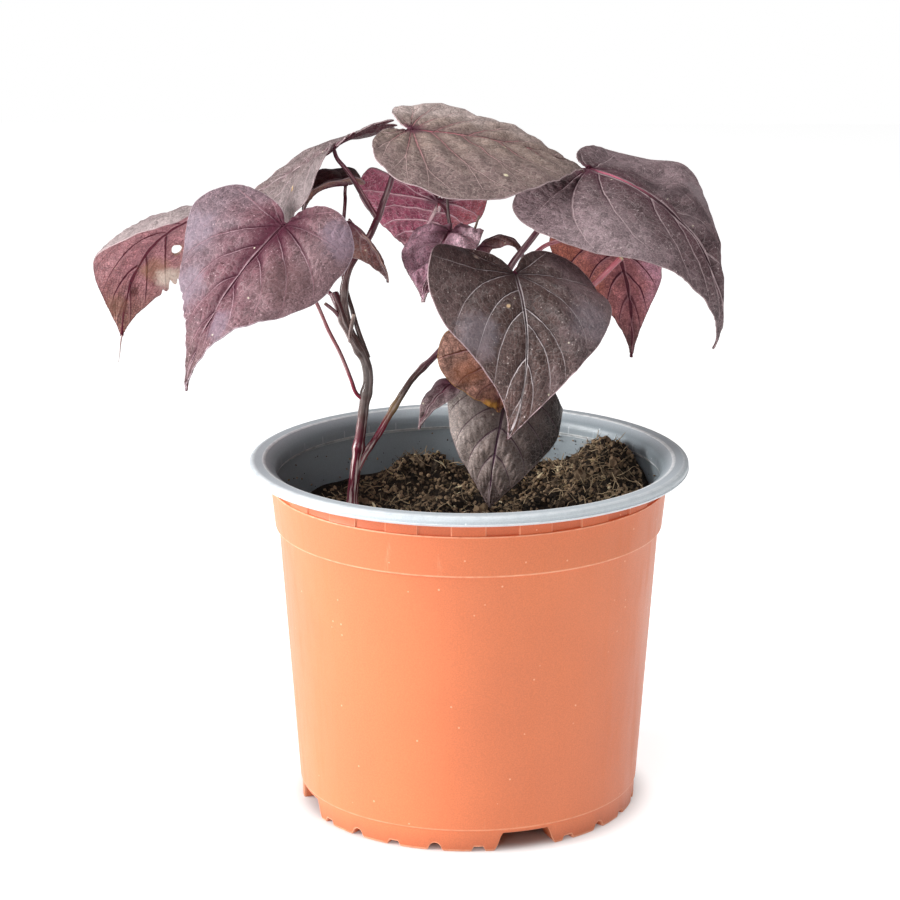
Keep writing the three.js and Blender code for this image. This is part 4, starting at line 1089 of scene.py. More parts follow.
# Each leaf as in the solids, with its veins and its relief in millimetres: quilting between the
# veins as a share of their distance, crinkle, and the height of the small ribs across.
LEAVES = {
    "leaf_top": dict(
        joint=(-16.5, -8, 203), heading=3, rise=-5, roll=16, length=54.5, width=(27, 38), lobe=(5, 12),
        droop=30, lobe_droop=-20, fold=(-6, 10), curl=(-6, -24), twist=4, sweep=17, fullness=0.9,
        veins=([(0, 0.18, 0.3, 0.5), (0, 0.35, -0.1, 0.6), (0, 0.47, 0.2, 0.8), (0.02, 0.58, 0.2, 0.65),
                (0.12, 0.67, 0.3, 0.65), (0.3, 0.77, 0.35, 0.7), (0.5, 0.86, 0.35, 0.75),
                (0.72, 0.94, 0.35, 0.75)],
               [(0, 0.16, 0.5, 0.4), (0, 0.26, 0.6, 0.4), (0, 0.36, 0.35, 0.6), (0, 0.46, 0.4, 0.75),
                (0.097, 0.6, 0.4, 0.7), (0.253, 0.69, 0.36, 0.62), (0.45, 0.8, 0.35, 0.7),
                (0.62, 0.88, 0.35, 0.7), (0.79, 0.95, 0.35, 0.7)])),
    "leaf_right": dict(
        joint=(35, 12, 188.5), heading=-40, rise=-6, roll=8, length=76, width=(36, 33), lobe=(13, 9),
        droop=110, lobe_droop=-26, fold=(-17, -7), curl=(10, -21), twist=2, sweep=20,
        veins=([(0, 0.14, 0.5, 0.4), (0, 0.27, 0.6, 0.45), (0, 0.7, 0.15, 1.3), (0.2, 0.8, 0.25, 1.0),
                (0.42, 0.88, 0.3, 0.9), (0.66, 0.95, 0.3, 0.8)],
               [(0, 0.15, 0.4, 0.45), (0, 0.32, 0.3, 0.6), (0, 0.53, 0.2, 0.95), (0.04, 0.69, 0.38, 1.15),
                (0.29, 0.79, 0.2, 0.75), (0.38, 0.87, 0.33, 0.8), (0.6, 0.94, 0.35, 0.8)]),
        valleys=[(0, 0.42, 0.16, 3.2), (0, 0.72, 0.14, -1.6)]),
    "leaf_front": dict(
        joint=(13, -26, 165), heading=-75, rise=-32, roll=-20, length=52, width=(29, 29), lobe=(11, 8),
        droop=79, lobe_droop=-2, fold=(17, -8), curl=(-36, 14), twist=35, sweep=6,
        veins=([(0, 0.18, 0.4, 0.5), (0, 0.38, 0.4, 0.6), (0, 0.7, 0.45, 1.15),
                (0.234, 0.78, 0.5, 0.95), (0.327, 0.84, 0.45, 1.0), (0.548, 0.91, 0.35, 0.9),
                (0.75, 0.96, 0.35, 0.8)],
               [(0, 0.18, 0.4, 0.5), (0, 0.36, 0.36, 0.6), (0, 0.62, 0.25, 0.92),
                (0.116, 0.72, 0.2, 0.85), (0.254, 0.82, 0.25, 1.1), (0.527, 0.89, 0.35, 1.1),
                (0.74, 0.95, 0.35, 0.8)]),
        holes=[(12.8, -4.8, 0.55)], ribs=0.07),
    "leaf_left": dict(
        joint=(-52.5, -18, 177), heading=-147, rise=-38, roll=1, length=56, width=(29, 34), lobe=(12, 6),
        droop=42, lobe_droop=13, fold=(13, 12), curl=(-92, 6), twist=2, sweep=-13,
        veins=([(0, 0.18, 0.5, 0.5), (0, 0.35, 0.6, 0.5), (0, 0.53, 0.3, 0.9),
                (0.043, 0.63, 0.4, 1.0), (0.201, 0.7, 0.2, 0.9), (0.388, 0.78, 0.25, 0.9),
                (0.6, 0.88, 0.3, 0.85), (0.78, 0.95, 0.3, 0.8)],
               [(0, 0.15, 0.5, 0.45), (0, 0.3, 0.6, 0.45), (0, 0.61, 0.45, 1.0),
                (0.128, 0.73, 0.35, 1.0), (0.33, 0.82, 0.3, 1.0), (0.55, 0.9, 0.3, 0.9),
                (0.76, 0.95, 0.3, 0.8)]),
        bites=[(1, 0.72, 0.005, 0.6), (1, 0.745, 0.008, 0.7), (1, 0.775, 0.005, 0.5),
               (1, 0.80, 0.006, 0.6), (1, 0.835, 0.005, 0.4)]),
    "leaf_far_left": dict(
        joint=(-78.5, 26, 172.5), heading=145, rise=-19, roll=8, length=60, width=(26, 27), lobe=(12, 8),
        droop=70, lobe_droop=10, fold=(18, -8), curl=(-63, -33), twist=13, sweep=-15, fullness=0.6,
        veins=([(0, 0.2, 0.4, 0.5), (0, 0.48, 0.3, 0.8), (0.167, 0.75, 0.33, 1.0),
                (0.283, 0.85, 0.15, 0.95), (0.567, 0.91, 0.4, 0.95), (0.76, 0.96, 0.35, 0.8)],
               [(0, 0.2, 0.4, 0.5), (0, 0.48, 0.3, 0.8), (0.12, 0.66, 0.35, 0.8), (0.3, 0.79, 0.5, 0.7),
                (0.5, 0.88, 0.35, 0.8), (0.72, 0.95, 0.35, 0.8)]),
        holes=[(24.9, -8.6, 1.9)],
        bites=[(1, 0.645, 0.006, 2.2), (1, 0.69, 0.012, 4.5), (1, 0.735, 0.006, 1.8),
               (1, 0.765, 0.008, 3.2), (1, 0.80, 0.006, 1.5)]),
    "leaf_upper_left": dict(
        joint=(-39.5, 9, 195), heading=120, rise=-24, roll=-8, length=50, width=(27, 23), lobe=(13, 12),
        droop=4, lobe_droop=-11, fold=(-11, 18), curl=(-62, -35), twist=-36, sweep=26,
        bites=[(1, 0.1, 0.02, 4.0), (1, 0.15, 0.02, 6.0), (1, 0.2, 0.012, 3.0), (1, 0.24, 0.02, 5.0),
               (1, 0.31, 0.02, 4.0), (1, 0.37, 0.012, 1.5)]),
    "leaf_behind_right": dict(
        joint=(42, 18, 167.5), heading=58, rise=-50, roll=-1, length=46, width=(20, 14), lobe=(12, 11),
        droop=36, lobe_droop=8, fold=(-6, 14), curl=(-47, -20), twist=-8, sweep=8),
    "leaf_young_back": dict(
        joint=(-9, 30, 175.5), heading=108, rise=-38, roll=13, length=37, width=(24, 15), lobe=(12, 12),
        droop=-7, lobe_droop=44, fold=(10, 8), curl=(6, -7), twist=-4, sweep=0, fullness=0.6,
        quilt=0.12, crinkle=0.5, ribs=0.18),
    "leaf_low": dict(
        joint=(12, 6, 125), heading=-112, rise=-55, roll=-7, length=41, width=(23, 18), lobe=(9, 9),
        droop=72, lobe_droop=34, fold=(-15, 13), curl=(-70, -28), twist=4, sweep=-10, fullness=0.4),
    "leaf_young_front": dict(
        joint=(-5.5, -8, 173.5), heading=-109, rise=-15, roll=3, length=31, width=(10, 13), lobe=(10, 10),
        droop=34, lobe_droop=35, fold=(1, 7), curl=(-28, -34), twist=7, sweep=3, fullness=0.6,
        **SMALL_LEAF, quilt=0.25, crinkle=0.8, ribs=0.2),
    "leaf_bronze": dict(
        joint=(9, -17, 142.5), heading=91, rise=-71, roll=0, length=28, width=(18, 11), lobe=(8, 7),
        droop=-30, lobe_droop=25, fold=(0, -7), curl=(-3, -34), twist=-5, sweep=0, fullness=0.6,
        **SMALL_LEAF),
    "leaf_behind_upper": dict(
        joint=(-36.5, 20, 182.5), heading=189, rise=4, roll=2, length=17, width=(11, 13), lobe=(5, 5),
        droop=87, lobe_droop=10, fold=(22, 19), curl=(-15, -12), twist=-2, sweep=0, fullness=0.4,
        **SMALL_LEAF),
    "leaf_crumpled": dict(
        joint=(-34, -4, 175.5), heading=-40, rise=-28, roll=0, length=22, width=(8, 8), lobe=(3, 3),
        droop=45, lobe_droop=0, fold=(-30, -48), curl=(-35, -45), twist=0, sweep=0, fullness=0.5,
        **SMALL_LEAF, quilt=0.12, crinkle=0.5),
    "leaf_curled": dict(
        joint=(2.5, 8, 166), heading=-8, rise=50, roll=0, length=21, width=(4.5, 4.5), lobe=(1.5, 1.5),
        droop=170, lobe_droop=0, fold=(-25, -35), curl=(-60, -60), twist=0, sweep=0, fullness=0.5,
        **SMALL_LEAF, quilt=0.1, crinkle=0.2),
    "leaf_low_small": dict(
        joint=(-5, 0, 126.5), heading=-137, rise=-22, roll=2, length=18, width=(6, 6), lobe=(4, 4),
        droop=40, lobe_droop=10, fold=(10, 8), curl=(-26, -25), twist=-1, sweep=0, fullness=0.4,
        **SMALL_LEAF),
}
PLAIN_LEAF = dict(
    veins=(COMMON_VEINS, COMMON_VEINS), wave=0.8, fullness=0, quilt=0.13, crinkle=0.4, ribs=0.15,
    wobble=0.0045, bites=(), holes=(), valleys=())


def turned_about(vectors, axis, angle):
    """Vectors turned about an axis of length 1."""
    cosine, sine = np.cos(angle)[..., None], np.sin(angle)[..., None]
    along = np.sum(vectors * axis, axis=-1, keepdims=True)
    return vectors * cosine + np.cross(axis, vectors) * sine + axis * along * (1 - cosine)


def blade_axes(leaf):
    """The joint's own axes: along the midrib, to the blade's left, and up out of its upper face."""
    heading, rise, roll = np.radians([leaf["heading"], leaf["rise"], leaf["roll"]])
    along = np.array([np.cos(heading) * np.cos(rise), np.sin(heading) * np.cos(rise), np.sin(rise)])
    left = turned_about(np.array([-np.sin(heading), np.cos(heading), 0.0]), along, roll)
    return along, left, np.cross(along, left)


def half_outline(leaf, side):
    """The flat outline of one half, from the joint round the lobe to the tip."""
    length, fullness = leaf["length"], leaf["fullness"]
    width, lobe = leaf["width"][side], leaf["lobe"][side]
    return spline([
        (0, 0), (-0.62 * lobe, 0.13 * width), (-lobe, 0.46 * width), (-0.62 * lobe, 0.84 * width),
        (0.13 * length, width), (0.38 * length, (0.8 + 0.14 * fullness) * width),
        (0.62 * length, (0.42 + 0.26 * fullness) * width),
        (0.8 * length, (0.17 + 0.18 * fullness) * width),
        (0.92 * length, (0.055 + 0.06 * fullness) * width), (length, 0),
    ])


def directions_at(pitch, yaw):
    """Directions of length 1, risen by the pitch and swept round by the yaw."""
    return np.stack([np.cos(pitch) * np.cos(yaw), np.cos(pitch) * np.sin(yaw), np.sin(pitch)], axis=-1)


def bent(leaf, side, u, v, lift):
    """Flat points of one half, 0 left or 1 right, bent into their place in the plant."""
    reach = max(leaf["lobe"])

    def angles(at):
        """The blade's pitch and yaw at a distance along it."""
        forward = -np.radians(leaf["droop"]) * (np.maximum(at, 0) / leaf["length"]) ** DROOP_POWER
        pitch = np.where(at > 0, forward, np.radians(leaf["lobe_droop"]) * -at / reach)
        return pitch, np.radians(leaf["sweep"]) * np.maximum(at, 0) / leaf["length"]

    place = np.zeros(u.shape + (3,))
    for i in range(BEND_STEPS):
        place += directions_at(*angles(u * (i + 0.5) / BEND_STEPS)) * (u / BEND_STEPS)[..., None]
    pitch, yaw = angles(u)
    fold = math.radians(leaf["fold"][side])
    bend = math.radians(leaf["curl"][side]) / leaf["width"][side]
    sideways = (np.sin(fold + bend * v) - math.sin(fold)) / bend
    upwards = (math.cos(fold) - np.cos(fold + bend * v)) / bend
    tangent = directions_at(pitch, yaw)
    across = np.stack([-np.sin(yaw), np.cos(yaw), np.zeros_like(yaw)], axis=-1)
    across = turned_about(across, tangent, np.radians(leaf["twist"]) * np.clip(u / leaf["length"], 0, 1))
    normal = np.cross(tangent, across)
    local = place + across * (sideways if side == 0 else -sideways)[..., None]
    local = local + normal * (upwards + lift)[..., None]
    along, left, up = blade_axes(leaf)
    return np.array(leaf["joint"]) + local[..., :1] * along + local[..., 1:2] * left + local[..., 2:] * up


def midrib_stations(leaf):
    """Where the rows of points leave the midrib, as shares: at every side vein and between them."""
    starts = sorted({0.0, 1.0} | {vein[0] for veins in leaf["veins"] for vein in veins})
    stations = [0.0]
    for before, after in zip(starts, starts[1:]):
        steps = max(1, math.ceil((after - before) * leaf["length"] / (0.75 * BLADE_STEP)))
        stations += np.linspace(before, after, steps + 1)[1:].tolist()
    return np.array(stations)


def half_grid(leaf, side, columns, stations):
    """One half's flat grid. Its rows run from the midrib to the margin as the side veins do."""
    veins = [(0.0, 0.0, *PLAIN_KNEE), *leaf["veins"][side], (1.0, 1.0, *PLAIN_KNEE)]
    starts, ends, knees_along, knees_across = zip(*veins)
    outline = half_outline(leaf, side)
    perimeter = np.linalg.norm(np.diff(outline, axis=0), axis=1).sum()
    fan = sum(1 for start in starts[1:] if start == 0)
    phases = []
    for k in range(fan):
        steps = max(2, math.ceil((ends[k + 1] - ends[k]) * perimeter / BLADE_STEP))
        phases += np.linspace(k, k + 1, steps, endpoint=False).tolist()
    beyond = np.interp(stations, starts[fan:], np.arange(fan, len(starts)))
    phases = np.concatenate([phases, beyond])
    count = np.arange(len(starts))
    begin = np.interp(phases, count, starts) * leaf["length"]
    share = np.interp(phases, count, ends)
    margin = along_curve(outline, share)
    reach = (np.arange(columns + 1) / columns) ** COLUMN_POWER
    start = np.stack([begin, np.zeros_like(begin)], axis=-1)[:, None]
    end = margin[:, None]
    span = end - start
    bend = np.stack([np.interp(phases, count, knees_along), np.interp(phases, count, knees_across)], axis=-1)
    knee = start + span * bend[:, None]
    t = reach[None, :, None]
    path = (1 - t) ** 2 * start + 2 * t * (1 - t) * knee + t ** 2 * end
    row_length = np.linalg.norm(span[:, 0], axis=-1)
    trim = leaf["wobble"] * fractal_noise(share * perimeter / 3.2, share * 0 + side, 3, 31) * 0.7
    for bite_side, middle, spread, depth in leaf["bites"]:
        if bite_side == side:
            trim = trim - depth * bell(share - middle, spread) / np.maximum(row_length, 1)
    flat = start + (path - start) * (1 + np.clip(trim, -0.9, 0.1)[:, None, None] * t ** 3)
    by_phase = np.gradient(flat, phases, axis=0)
    by_reach = unit(np.gradient(flat, reach, axis=1) + 1e-9)
    gap = np.abs(by_phase[..., 0] * by_reach[..., 1] - by_phase[..., 1] * by_reach[..., 0])
    shape = flat.shape[:2]
    return {
        "u": flat[..., 0], "v": flat[..., 1], "gap": gap,
        "phase": np.broadcast_to(phases[:, None], shape),
        "reach": np.broadcast_to(reach, shape),
        "row": np.broadcast_to(row_length[:, None], shape),
        "share": np.broadcast_to(share[:, None], shape),
    }


def blade_lift(leaf, side, grid):
    """How far the blade stands off its smooth form: waves, quilting between veins and crinkle."""
    u, v, reach, share = grid["u"], grid["v"], grid["reach"], grid["share"]
    signed = v if side == 0 else -v
    wave = leaf["wave"] * reach ** 2 * np.sin(2 * np.pi * MARGIN_WAVES * share + side)
    wave = wave * np.sin(np.pi * share)
    between = np.sin(np.pi * grid["phase"]) ** 2
    puff = leaf["quilt"] * np.minimum(grid["gap"], 9) * between
    puff = puff * smooth_step(0, 0.18, reach) * (1 - 0.5 * reach)
    crinkle = leaf["crinkle"] * fractal_noise(u / 5.5, signed / 5.5, 3, 47)
    crinkle = crinkle * (0.3 + 0.7 * smooth_step(0, 0.35, reach)) * (1 - 0.7 * smooth_step(0.7, 1, reach))
    ribs = leaf["ribs"] * np.sin(2 * np.pi * reach * grid["row"] / RIB_STEP) * between
    along = u / leaf["length"]
    window = smooth_step(0.05, 0.25, along) * (1 - smooth_step(0.65, 0.95, along))
    valley = np.zeros_like(u)
    for valley_side, middle, spread, depth in leaf["valleys"]:
        if valley_side == side:
            valley = valley - depth * bell(reach - middle, spread) * window
    return wave + puff + crinkle + ribs + valley


def open_holes(leaf, grids):
    """Pushes the points inside a hole out to its edge, and says which points those were."""
    inside = [np.zeros(grid["u"].shape, bool) for grid in grids]
    for hole_u, hole_v, radius in leaf["holes"]:
        side = 0 if hole_v > 0 else 1
        grid = grids[side]
        du, dv = grid["u"] - hole_u, grid["v"] - abs(hole_v)
        distance = np.maximum(np.hypot(du, dv), 1e-3)
        within = distance < radius
        grid["u"] = np.where(within, hole_u + du * radius / distance, grid["u"])
        grid["v"] = np.where(within, abs(hole_v) + dv * radius / distance, grid["v"])
        inside[side] |= within
    return inside


def blade_cells(grids, inside):
    """The grid's cells as four grid numbers each, upper side outwards, without those in holes."""
    cells = []
    start = 0
    for side, grid in enumerate(grids):
        rows, columns = grid["u"].shape
        numbers = start + np.arange(rows * columns).reshape(rows, columns)
        corners = [numbers[:-1, :-1], numbers[1:, :-1], numbers[1:, 1:], numbers[:-1, 1:]]
        if side == 1:
            corners.reverse()
        faces = np.stack(corners, axis=-1).reshape(-1, 4)
        hidden = inside[side].ravel()[faces - start].all(axis=1)
        cells.append(faces[~hidden])
        start += rows * columns
    return np.concatenate(cells)


def distinct(face, welded):
    """A cell's corners, each welded point once."""
    kept = []
    for corner in face:
        if not kept or welded[corner] != welded[kept[-1]]:
            kept.append(corner)
    if len(kept) > 1 and welded[kept[0]] == welded[kept[-1]]:
        kept.pop()
    return kept


def blade_normals(middle, faces, welded, count):
    """The direction out of the upper side at each of the blade's distinct points."""
    normals = np.zeros((count, 3))
    for size in (3, 4):
        group = np.array([face for face in faces if len(face) == size])
        if len(group):
            p = middle[group]
            across = np.cross(p[:, 2] - p[:, 0], p[:, -1] - p[:, 1 if size == 4 else 0])
            for k in range(size):
                np.add.at(normals, welded[group[:, k]], across)
    return unit(normals)


def blade_thickness(leaf, values):
    """How far the upper and the lower side stand off the middle: furrows above and ribs below."""
    off_vein = np.abs(values["phase"] - np.round(values["phase"])) * values["gap"]
    midrib = bell(values["v"], RIB_WIDTH) * (1 - 0.75 * np.clip(values["u"] / leaf["length"], 0, 1))
    side_vein = bell(off_vein, VEIN_WIDTH) * (1 - 0.7 * values["reach"])
    side_vein = side_vein * smooth_step(0, 0.03, values["reach"])
    half = HALF_THICKNESS + EDGE_THICKENING * (1 - smooth_step(0.88, 1.0, values["reach"]))
    return half - 0.28 * midrib - 0.13 * side_vein, half + 0.5 * midrib + 0.2 * side_vein


def write_layers(mesh, leaf, values, corners):
    """Tells the materials where on the blade each corner lies, and lays out the flat blade as UV."""
    u, across = values["u"], values["across"]
    width = np.where(values["left"] > 0, *leaf["width"])
    layers = {
        "vein_phase": values["phase"], "reach": values["reach"], "vein_gap": values["gap"],
        "row_length": values["row"], "across": across, "along": u / leaf["length"],
        "breadth": across / width, "from_joint": np.hypot(u, values["v"]),
    }
    for layer, numbers in layers.items():
        mesh_values(mesh, layer, numbers[corners], "CORNER")
    uv = mesh.uv_layers.new(name="flat_blade")
    flat = np.stack([u / FLAT_SPAN + FLAT_SHIFT[0], across / FLAT_SPAN + FLAT_SHIFT[1]], axis=-1)
    uv.data.foreach_set("uv", flat[corners].ravel())


def make_leaf(name, materials):
    """A leaf blade: its bent middle surface, thickened, with grooved veins above and ribs below."""
    leaf = PLAIN_LEAF | LEAVES[name]
    columns = max(8, math.ceil(max(leaf["width"]) / BLADE_STEP))
    stations = midrib_stations(leaf)
    grids = [half_grid(leaf, side, columns, stations) for side in (0, 1)]
    inside = open_holes(leaf, grids)
    middle = np.concatenate([
        bent(leaf, side, grid["u"], grid["v"], blade_lift(leaf, side, grid)).reshape(-1, 3)
        for side, grid in enumerate(grids)])
    middle = inside_box(middle)
    values = {key: np.concatenate([grid[key].ravel() for grid in grids]) for key in grids[0]}
    left = np.concatenate([np.full(grid["u"].size, 1.0 - 2 * side) for side, grid in enumerate(grids)])
    values |= {"left": left, "across": values["v"] * left}
    keys = np.round(np.stack([values["u"], values["across"]], axis=-1), 4)
    _, first, welded = np.unique(keys, axis=0, return_index=True, return_inverse=True)
    welded = welded.ravel()
    faces = [distinct(face, welded) for face in blade_cells(grids, inside).tolist()]
    faces = [face for face in faces if len(face) > 2]
    points = middle[first]
    normals = blade_normals(middle, faces, welded, len(points))
    upper, lower = blade_thickness(leaf, values)
    used = sorted({welded[corner] for face in faces for corner in face})
    number = np.full(len(points), -1)
    number[used] = np.arange(len(used))
    tops = points[used] + normals[used] * upper[first][used][:, None]
    bottoms = points[used] - normals[used] * lower[first][used][:, None]
    count = len(used)
    above = [[int(number[welded[corner]]) for corner in face] for face in faces]
    below = [[count + i for i in reversed(face)] for face in above]
    rim, rim_corners = blade_rim(faces, above, count)
    all_faces = above + below + rim
    corners = faces + [list(reversed(face)) for face in faces] + rim_corners
    slots = [0] * len(above) + [1] * len(below) + [0] * len(rim)
    piece = make_piece(name.replace("leaf", "blade"), np.concatenate([tops, bottoms]), all_faces,
                       materials, slots, smooth_angle=60)
    write_layers(piece.data, leaf, values, np.array([corner for face in corners for corner in face]))
    return piece


def blade_rim(faces, above, count):
    """The narrow faces that close the blade's edge between its two sides."""
    edges = {}
    for face, points in zip(faces, above):
        for k in range(len(points)):
            a, b = points[k], points[(k + 1) % len(points)]
            edges[(a, b)] = (face[k], face[(k + 1) % len(points)])
    rim, rim_corners = [], []
    for (a, b), (corner_a, corner_b) in edges.items():
        if (b, a) not in edges:
            rim.append([b, a, count + a, count + b])
            rim_corners.append([corner_b, corner_a, corner_a, corner_b])
    return rim, rim_corners


LEAF_COLOURS = ("Left", "Middle", "Right", "Joint", "Tip", "Margin", "Midrib", "Side vein", "Vein end",
                "Vein light", "Fine vein", "Fleck")
LEAF_AMOUNTS = ("Joint reach", "Stain", "Midrib width", "Vein width", "Vein strength", "Light strength",
                "Fork", "Rung strength", "Net strength", "Mottle", "Grain", "Fleck strength", "Roughness")


CELL_SIZE, DOT_SIZE, FLECK_SPACING = 0.0018, 0.0011, 0.0048


def flat_place(nodes):
    """The place on the flat blade, in metres."""
    uv = nodes.node("UVMap", uv_map="flat_blade").outputs[0]
    return nodes.node("VectorMath", {0: uv, "Scale": FLAT_SPAN * MM}, operation="SCALE").outputs[0]


def blade_places(nodes):
    """Where on the blade each point lies, and the clouds, patches and grain of the skin there."""
    flat = flat_place(nodes)
    phase = nodes.attribute("vein_phase")
    nearest = nodes.math("ROUND", phase)
    clouds = nodes.noise(flat, 0.009, detail=3)
    return SimpleNamespace(
        flat=flat, phase=phase, nearest=nearest, clouds=clouds,
        drift=nodes.math("SUBTRACT", clouds, 0.5),
        offset=nodes.math("ABSOLUTE", nodes.math("SUBTRACT", phase, nearest)),
        reach=nodes.attribute("reach"), gap=nodes.attribute("vein_gap"),
        row=nodes.attribute("row_length"), across=nodes.attribute("across"),
        along=nodes.attribute("along"),
        patches=nodes.noise(flat, 0.0035, detail=4, roughness=0.65),
        grain=nodes.noise(flat, 0.0005, detail=4, roughness=0.75))


def mottled_skin(nodes, given, at):
    """The skin's own tints across and along the blade, with dark and light patches."""
    breadth = nodes.math("ADD", nodes.attribute("breadth"), at.drift)
    tint = nodes.mix(nodes.fade(breadth, 0.05, 0.85), given["Middle"], given["Left"])
    tint = nodes.mix(nodes.fade(breadth, -0.05, -0.85), tint, given["Right"])
    tint = nodes.mix(nodes.fade(at.along, 0.6, 1.0), tint, given["Tip"])
    shade = nodes.times(nodes.math("SUBTRACT", at.patches, 0.5), given["Mottle"])
    return nodes.mix(1.0, tint, nodes.math("MULTIPLY_ADD", shade, 4.0, 1.0), "MULTIPLY")


def add_net(nodes, given, at, tint):
    """Cells with a pale net between them, grain and dots. Gives the distance to the net too."""
    wobble = nodes.node("TexNoise", {"Vector": at.flat, "Scale": 700.0}).outputs["Color"]
    wobble = nodes.node("VectorMath", {0: wobble, "Scale": 0.0006}, operation="SCALE").outputs[0]
    bent_flat = nodes.node("VectorMath", {0: at.flat, 1: wobble}, operation="ADD").outputs[0]
    edge = nodes.cells(bent_flat, CELL_SIZE, feature="DISTANCE_TO_EDGE")
    lone = nodes.cell_chance(bent_flat, CELL_SIZE, 0)
    speckle = nodes.math("ADD", nodes.fade(lone, 0.0, 1.0, -0.14, 0.14),
                         nodes.fade(at.grain, 0.32, 0.68, -0.3, 0.36))
    tint = nodes.mix(1.0, tint, nodes.math("MULTIPLY_ADD", speckle, given["Grain"], 1.0), "MULTIPLY")
    dot_pick = nodes.cell_chance(at.flat, DOT_SIZE, 2)
    dot = nodes.times(nodes.fade(nodes.cells(at.flat, DOT_SIZE), 0.2, 0.08),
                      nodes.fade(dot_pick, 0.45, 0.9), given["Grain"])
    tint = nodes.mix(dot, tint, given["Fine vein"])
    net = nodes.times(nodes.fade(edge, 0.06, 0.015), given["Net strength"],
                      nodes.fade(at.patches, 0.35, 0.6, 0.4, 1.0))
    return nodes.mix(net, tint, given["Fine vein"]), edge


def add_rungs(nodes, given, at, tint):
    """The small ribs that cross from vein to vein. Gives their mask too."""
    bow = nodes.times(at.offset, at.offset, 2.4)
    climb = nodes.math("DIVIDE", nodes.times(at.reach, at.row), RIB_STEP)
    wander = nodes.times(nodes.noise(at.flat, 0.004, detail=3), 2.4)
    rung = nodes.math("ADD", nodes.math("SUBTRACT", climb, bow), wander)
    rung = nodes.math("ABSOLUTE", nodes.math("SUBTRACT", nodes.math("FRACT", rung), 0.5))
    mask = nodes.times(nodes.fade(rung, 0.05, 0.012), nodes.fade(at.gap, 0.8, 2.5),
                       nodes.fade(at.clouds, 0.35, 0.55, 0.45, 1.0), given["Rung strength"])
    return nodes.mix(mask, tint, given["Fine vein"]), mask


def add_side_veins(nodes, given, at, tint):
    """The side veins, forked near the margin, with a dark band beside them that is partly stain and partly
    painted shade, and a painted light line along one flank. Gives their mask too.
    """
    late = nodes.math("DIVIDE", nodes.math("SUBTRACT", at.reach, 0.55), 0.45)
    fork = nodes.math("POWER", nodes.math("MAXIMUM", late, 0.0), 0.8)
    fork = nodes.times(fork, given["Fork"])
    off_vein = nodes.math("ABSOLUTE", nodes.math("SUBTRACT", at.offset, fork))
    ragged = nodes.fade(nodes.noise(at.flat, 0.0016, detail=2), 0.3, 0.7, 0.75, 1.25)
    width = nodes.times(given["Vein width"], nodes.fade(at.reach, 0.0, 1.0, 1.2, 0.4), ragged)
    apart = nodes.math("DIVIDE", nodes.times(off_vein, at.gap), width)
    there = nodes.times(nodes.fade(at.gap, 0.15, 0.6), nodes.fade(at.reach, 0.75, 1.0, 1.0, 0.3),
                        nodes.fade(at.row, 5.0, 16.0, 0.2, 1.0))
    mask = nodes.times(nodes.fade(apart, 1.0, 0.5), there)
    # a dark band beside the vein: partly stain, partly painted shade of its groove
    stain_and_shade = nodes.times(nodes.fade(apart, 7.0, 1.0), nodes.fade(at.gap, 0.3, 1.5),
                         nodes.fade(at.reach, 0.75, 0.05, 0.15, 1.0), given["Stain"])
    tint = nodes.mix(stain_and_shade, tint, given["Joint"])
    # a painted light line along one flank of the vein
    flank = nodes.math("SUBTRACT", nodes.math("SUBTRACT", at.phase, at.nearest), fork)
    flank = nodes.math("DIVIDE", nodes.times(flank, at.gap), width)
    lit = nodes.fade(nodes.math("ABSOLUTE", nodes.math("SUBTRACT", flank, 1.5)), 0.9, 0.35)
    tint = nodes.mix(nodes.times(lit, there, given["Light strength"]), tint, given["Vein light"])
    vein_tint = nodes.mix(nodes.fade(at.reach, 0.2, 0.75), given["Side vein"], given["Vein end"])
    return nodes.mix(nodes.times(mask, given["Vein strength"]), tint, vein_tint), mask


def add_midrib(nodes, given, at, tint):
    """The midrib, with a dark band beside it that is partly stain and partly painted shade, and painted
    highlights along its edges. Gives its mask too.
    """
    taper = nodes.times(given["Midrib width"], nodes.fade(at.along, 0.0, 1.0, 1.1, 0.3))
    ahead = nodes.fade(at.along, -0.02, 0.0)
    off_rib = nodes.math("DIVIDE", nodes.math("ABSOLUTE", at.across), taper)
    # a dark band along the midrib: partly stain, partly painted shade
    stain_and_shade = nodes.times(nodes.fade(off_rib, 12.0, 1.0), nodes.fade(at.along, 0.9, 0.2, 0.2, 1.0),
                         ahead, given["Stain"])
    tint = nodes.mix(stain_and_shade, tint, given["Joint"])
    mask = nodes.times(nodes.fade(off_rib, 1.0, 0.6), ahead)
    # painted highlights along the midrib's edges
    lit = nodes.times(nodes.fade(off_rib, 2.2, 1.2), nodes.fade(off_rib, 0.8, 1.1), ahead,
                      given["Light strength"])
    tint = nodes.mix(lit, tint, given["Vein light"])
    rib_tint = nodes.mix(nodes.fade(at.along, 0.12, 0.34), given["Midrib"], given["Side vein"])
    return nodes.mix(mask, tint, rib_tint), mask


